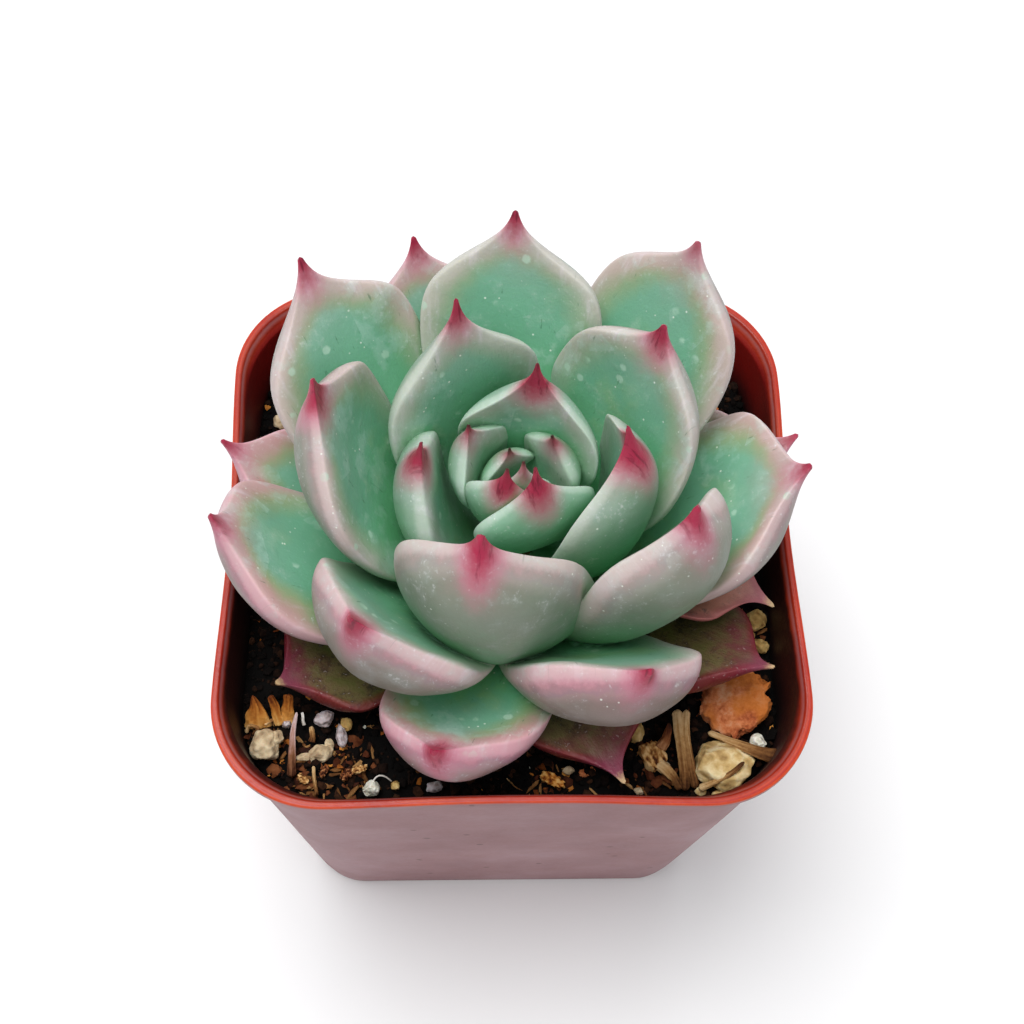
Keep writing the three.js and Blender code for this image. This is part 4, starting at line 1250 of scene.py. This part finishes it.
# The finishes of stones: the material's name, its shades from its pits up, and the size of its pits
STONE_FINISHES = {
    "pumice": ("pumice_skin", (122, 84, 40), (206, 172, 112), (248, 230, 184), 1.1),
    "bean": ("ochre_stone_skin", (140, 100, 52), (198, 162, 96), (226, 196, 136), 0.7),
    "cream": ("cream_stone_skin", (140, 112, 84), (200, 176, 140), (228, 210, 176), 0.8),
    "perlite": ("perlite_skin", (170, 164, 140), (220, 216, 198), (244, 242, 230), 0.4),
    "lilac": ("pale_grey_stone_skin", (110, 92, 84), (178, 164, 164), (214, 204, 208), 0.5),
}
# The finishes of chips and sticks: the material's name, the depth and size of its mottling, and
# its shades from dark to light
WOOD_ROUGHNESS = 0.8
WOOD_FINISHES = {
    "ochre": ("ochre_sliver", 0.15, 0.7, (96, 44, 14), (168, 98, 36), (208, 142, 66), (226, 176, 104)),
    "mauve": ("mauve_twig", 0.1, 0.5, (70, 36, 20), (128, 84, 56), (176, 138, 128), (204, 184, 184)),
    "straw": ("straw_twig", 0.16, 0.4, (64, 34, 16), (124, 82, 44), (176, 134, 84), (214, 180, 132)),
    "tan": ("tan_chip", 0.16, 0.6, (70, 34, 14), (150, 98, 50), (204, 156, 96), (226, 186, 130)),
    "rust": ("rust_sliver", 0.1, 0.5, (34, 13, 7), (84, 40, 20), (136, 82, 46), (176, 124, 84)),
    "chalk": ("chalk_fibre", 0.05, 0.4, (170, 160, 150), (214, 208, 200), (238, 234, 228)),
}
# The slot that each finish belongs to
FINISH_SLOTS = {
    "pumice": "pumice", "bean": "pumice", "cream": "perlite", "perlite": "perlite",
    "lilac": "perlite", "bark": "bark", "ochre": "bark", "tan": "bark", "rust": "bark",
    "mauve": "twig", "straw": "twig", "chalk": "twig",
}


def make_loose_pieces():
    """Everything that lies loose on the soil."""
    skins = {finish: stone_skin(*row) for finish, row in STONE_FINISHES.items()}
    skins["bark"] = bark_chip_skin()
    for finish, (name, depth, size, *shades) in WOOD_FINISHES.items():
        skins[finish] = earth(name, shades, WOOD_ROUGHNESS, depth, size)
    for table, shape in ((STONES, stone_shape), (CHIPS, chip_shape), (STICKS, stick_shape)):
        for number, (name, (node, *row, finish)) in enumerate(table.items()):
            nodes = [node] if node else []
            finished(name, shape(number, *row), skins[finish], FINISH_SLOTS[finish], *nodes)
    peat_shades = [(3, 2, 1), (7, 4, 3), (14, 7, 5), (30, 16, 9), (58, 34, 20)]
    peat = earth("peat_crumb", peat_shades, 0.95, 0.1, 0.3)
    round_crumb = ((0.8, 1.2), (0.8, 1.2), (0.5, 0.9))
    long_crumb = ((0.25, 0.5), (1.0, 2.2), (0.2, 0.4))
    flake = ((0.5, 1), (0.8, 1.6), (0.2, 0.45))
    ochre, straw = skins["ochre"], skins["straw"]
    litter("peat_crumbs", 11, 5600, (0.16, 0.62), round_crumb, peat, "soil")
    litter("peat_shreds", 12, 1300, (0.2, 0.6), long_crumb, peat, "soil", 0.1)
    litter("bark_crumbs", 13, 260, (0.12, 0.5), flake, ochre, "bark", 0.1, (0, 0.7))
    litter("bark_shreds", 14, 180, (0.2, 0.6), long_crumb, straw, "twig", 0.05, (0, 0.8))
    litter("perlite_grains", 15, 110, (0.08, 0.26), round_crumb, skins["perlite"], "perlite", 0.1)
    litter("heap_flakes", 16, 150, (0.2, 0.7), flake, skins["rust"], "bark", -0.3, (0, 0.5), BARK_HEAPS)
    litter("heap_chips", 17, 90, (0.16, 0.5), flake, ochre, "bark", -0.3, (0, 0.5), BARK_HEAPS)
    litter("heap_shreds", 18, 110, (0.25, 0.7), long_crumb, straw, "twig", -0.4, (0, 0.7), BARK_HEAPS)


# Stage, in metres

FLOOR_HALF = 1.5
SKY_COLOUR = (0.95, 0.97, 1.0, 1.0)
SKY_STRENGTH = 0.4
# The lights: place, size, and power in watts
LIGHTS = {
    "key": ((-0.10, 0.04, 0.54), 0.28, 2.1),
    "fill": ((0.06, -0.24, 0.55), 0.45, 0.65),
    "back": ((0.05, 0.45, 0.35), 0.40, 0.6),
}
LIGHTS_AIM = Vector((0, 0, 0.05))


def make_stage():
    """A plain floor under the pot."""
    bm = bmesh.new()
    bmesh.ops.create_grid(bm, x_segments=8, y_segments=8, size=FLOOR_HALF)
    floor = placed("floor", bm)
    floor.data.materials.append(floor_skin())


def make_lights():
    """A pale sky and three soft lamps."""
    world = bpy.data.worlds.new("studio")
    world.use_nodes = True
    sky = world.node_tree.nodes["Background"]
    sky.inputs["Color"].default_value = SKY_COLOUR
    sky.inputs["Strength"].default_value = SKY_STRENGTH
    bpy.context.scene.world = world
    for name, (spot, size, power) in LIGHTS.items():
        lamp = bpy.data.lights.new(name, "AREA")
        lamp.size = size
        lamp.energy = power
        lamp_object = bpy.data.objects.new(name, lamp)
        lamp_object.location = spot
        aim = LIGHTS_AIM - Vector(spot)
        lamp_object.rotation_euler = aim.to_track_quat("-Z", "Y").to_euler()
        bpy.context.scene.collection.objects.link(lamp_object)


def make_camera():
    """The camera, turned about the pot from straight in front, raised and rolled."""
    azimuth, elevation, roll = (
        math.radians(angle) for angle in (CAMERA_AZIMUTH, CAMERA_ELEVATION, CAMERA_ROLL)
    )
    back = Vector((
        math.sin(azimuth) * math.cos(elevation),
        -math.cos(azimuth) * math.cos(elevation),
        math.sin(elevation),
    ))
    level = Vector((0, 0, 1)).cross(back).normalized()
    upright = back.cross(level)
    right = level * math.cos(roll) + upright * math.sin(roll)
    up = upright * math.cos(roll) - level * math.sin(roll)
    lens = bpy.data.cameras.new("camera")
    lens.lens = CAMERA_LENS
    lens.sensor_fit = "HORIZONTAL"
    lens.clip_start = 0.01
    camera = bpy.data.objects.new("camera", lens)
    turned = Matrix((right, up, back)).transposed().to_4x4()
    camera.matrix_world = Matrix.Translation((CAMERA_TARGET + back * CAMERA_DISTANCE) * MM) @ turned
    bpy.context.scene.collection.objects.link(camera)
    bpy.context.scene.camera = camera


bpy.context.scene.view_settings.view_transform = "Standard"
make_camera()
make_lights()
make_stage()
make_pot(pot_plastic())
make_soil(earth("soil_earth", [(2, 1, 1), (5, 3, 2), (12, 7, 5), (32, 19, 11)]))
make_stem(earth("stem_bark", [(70, 52, 30), (110, 96, 56), (140, 136, 84)]))
make_leaves()
make_loose_pieces()
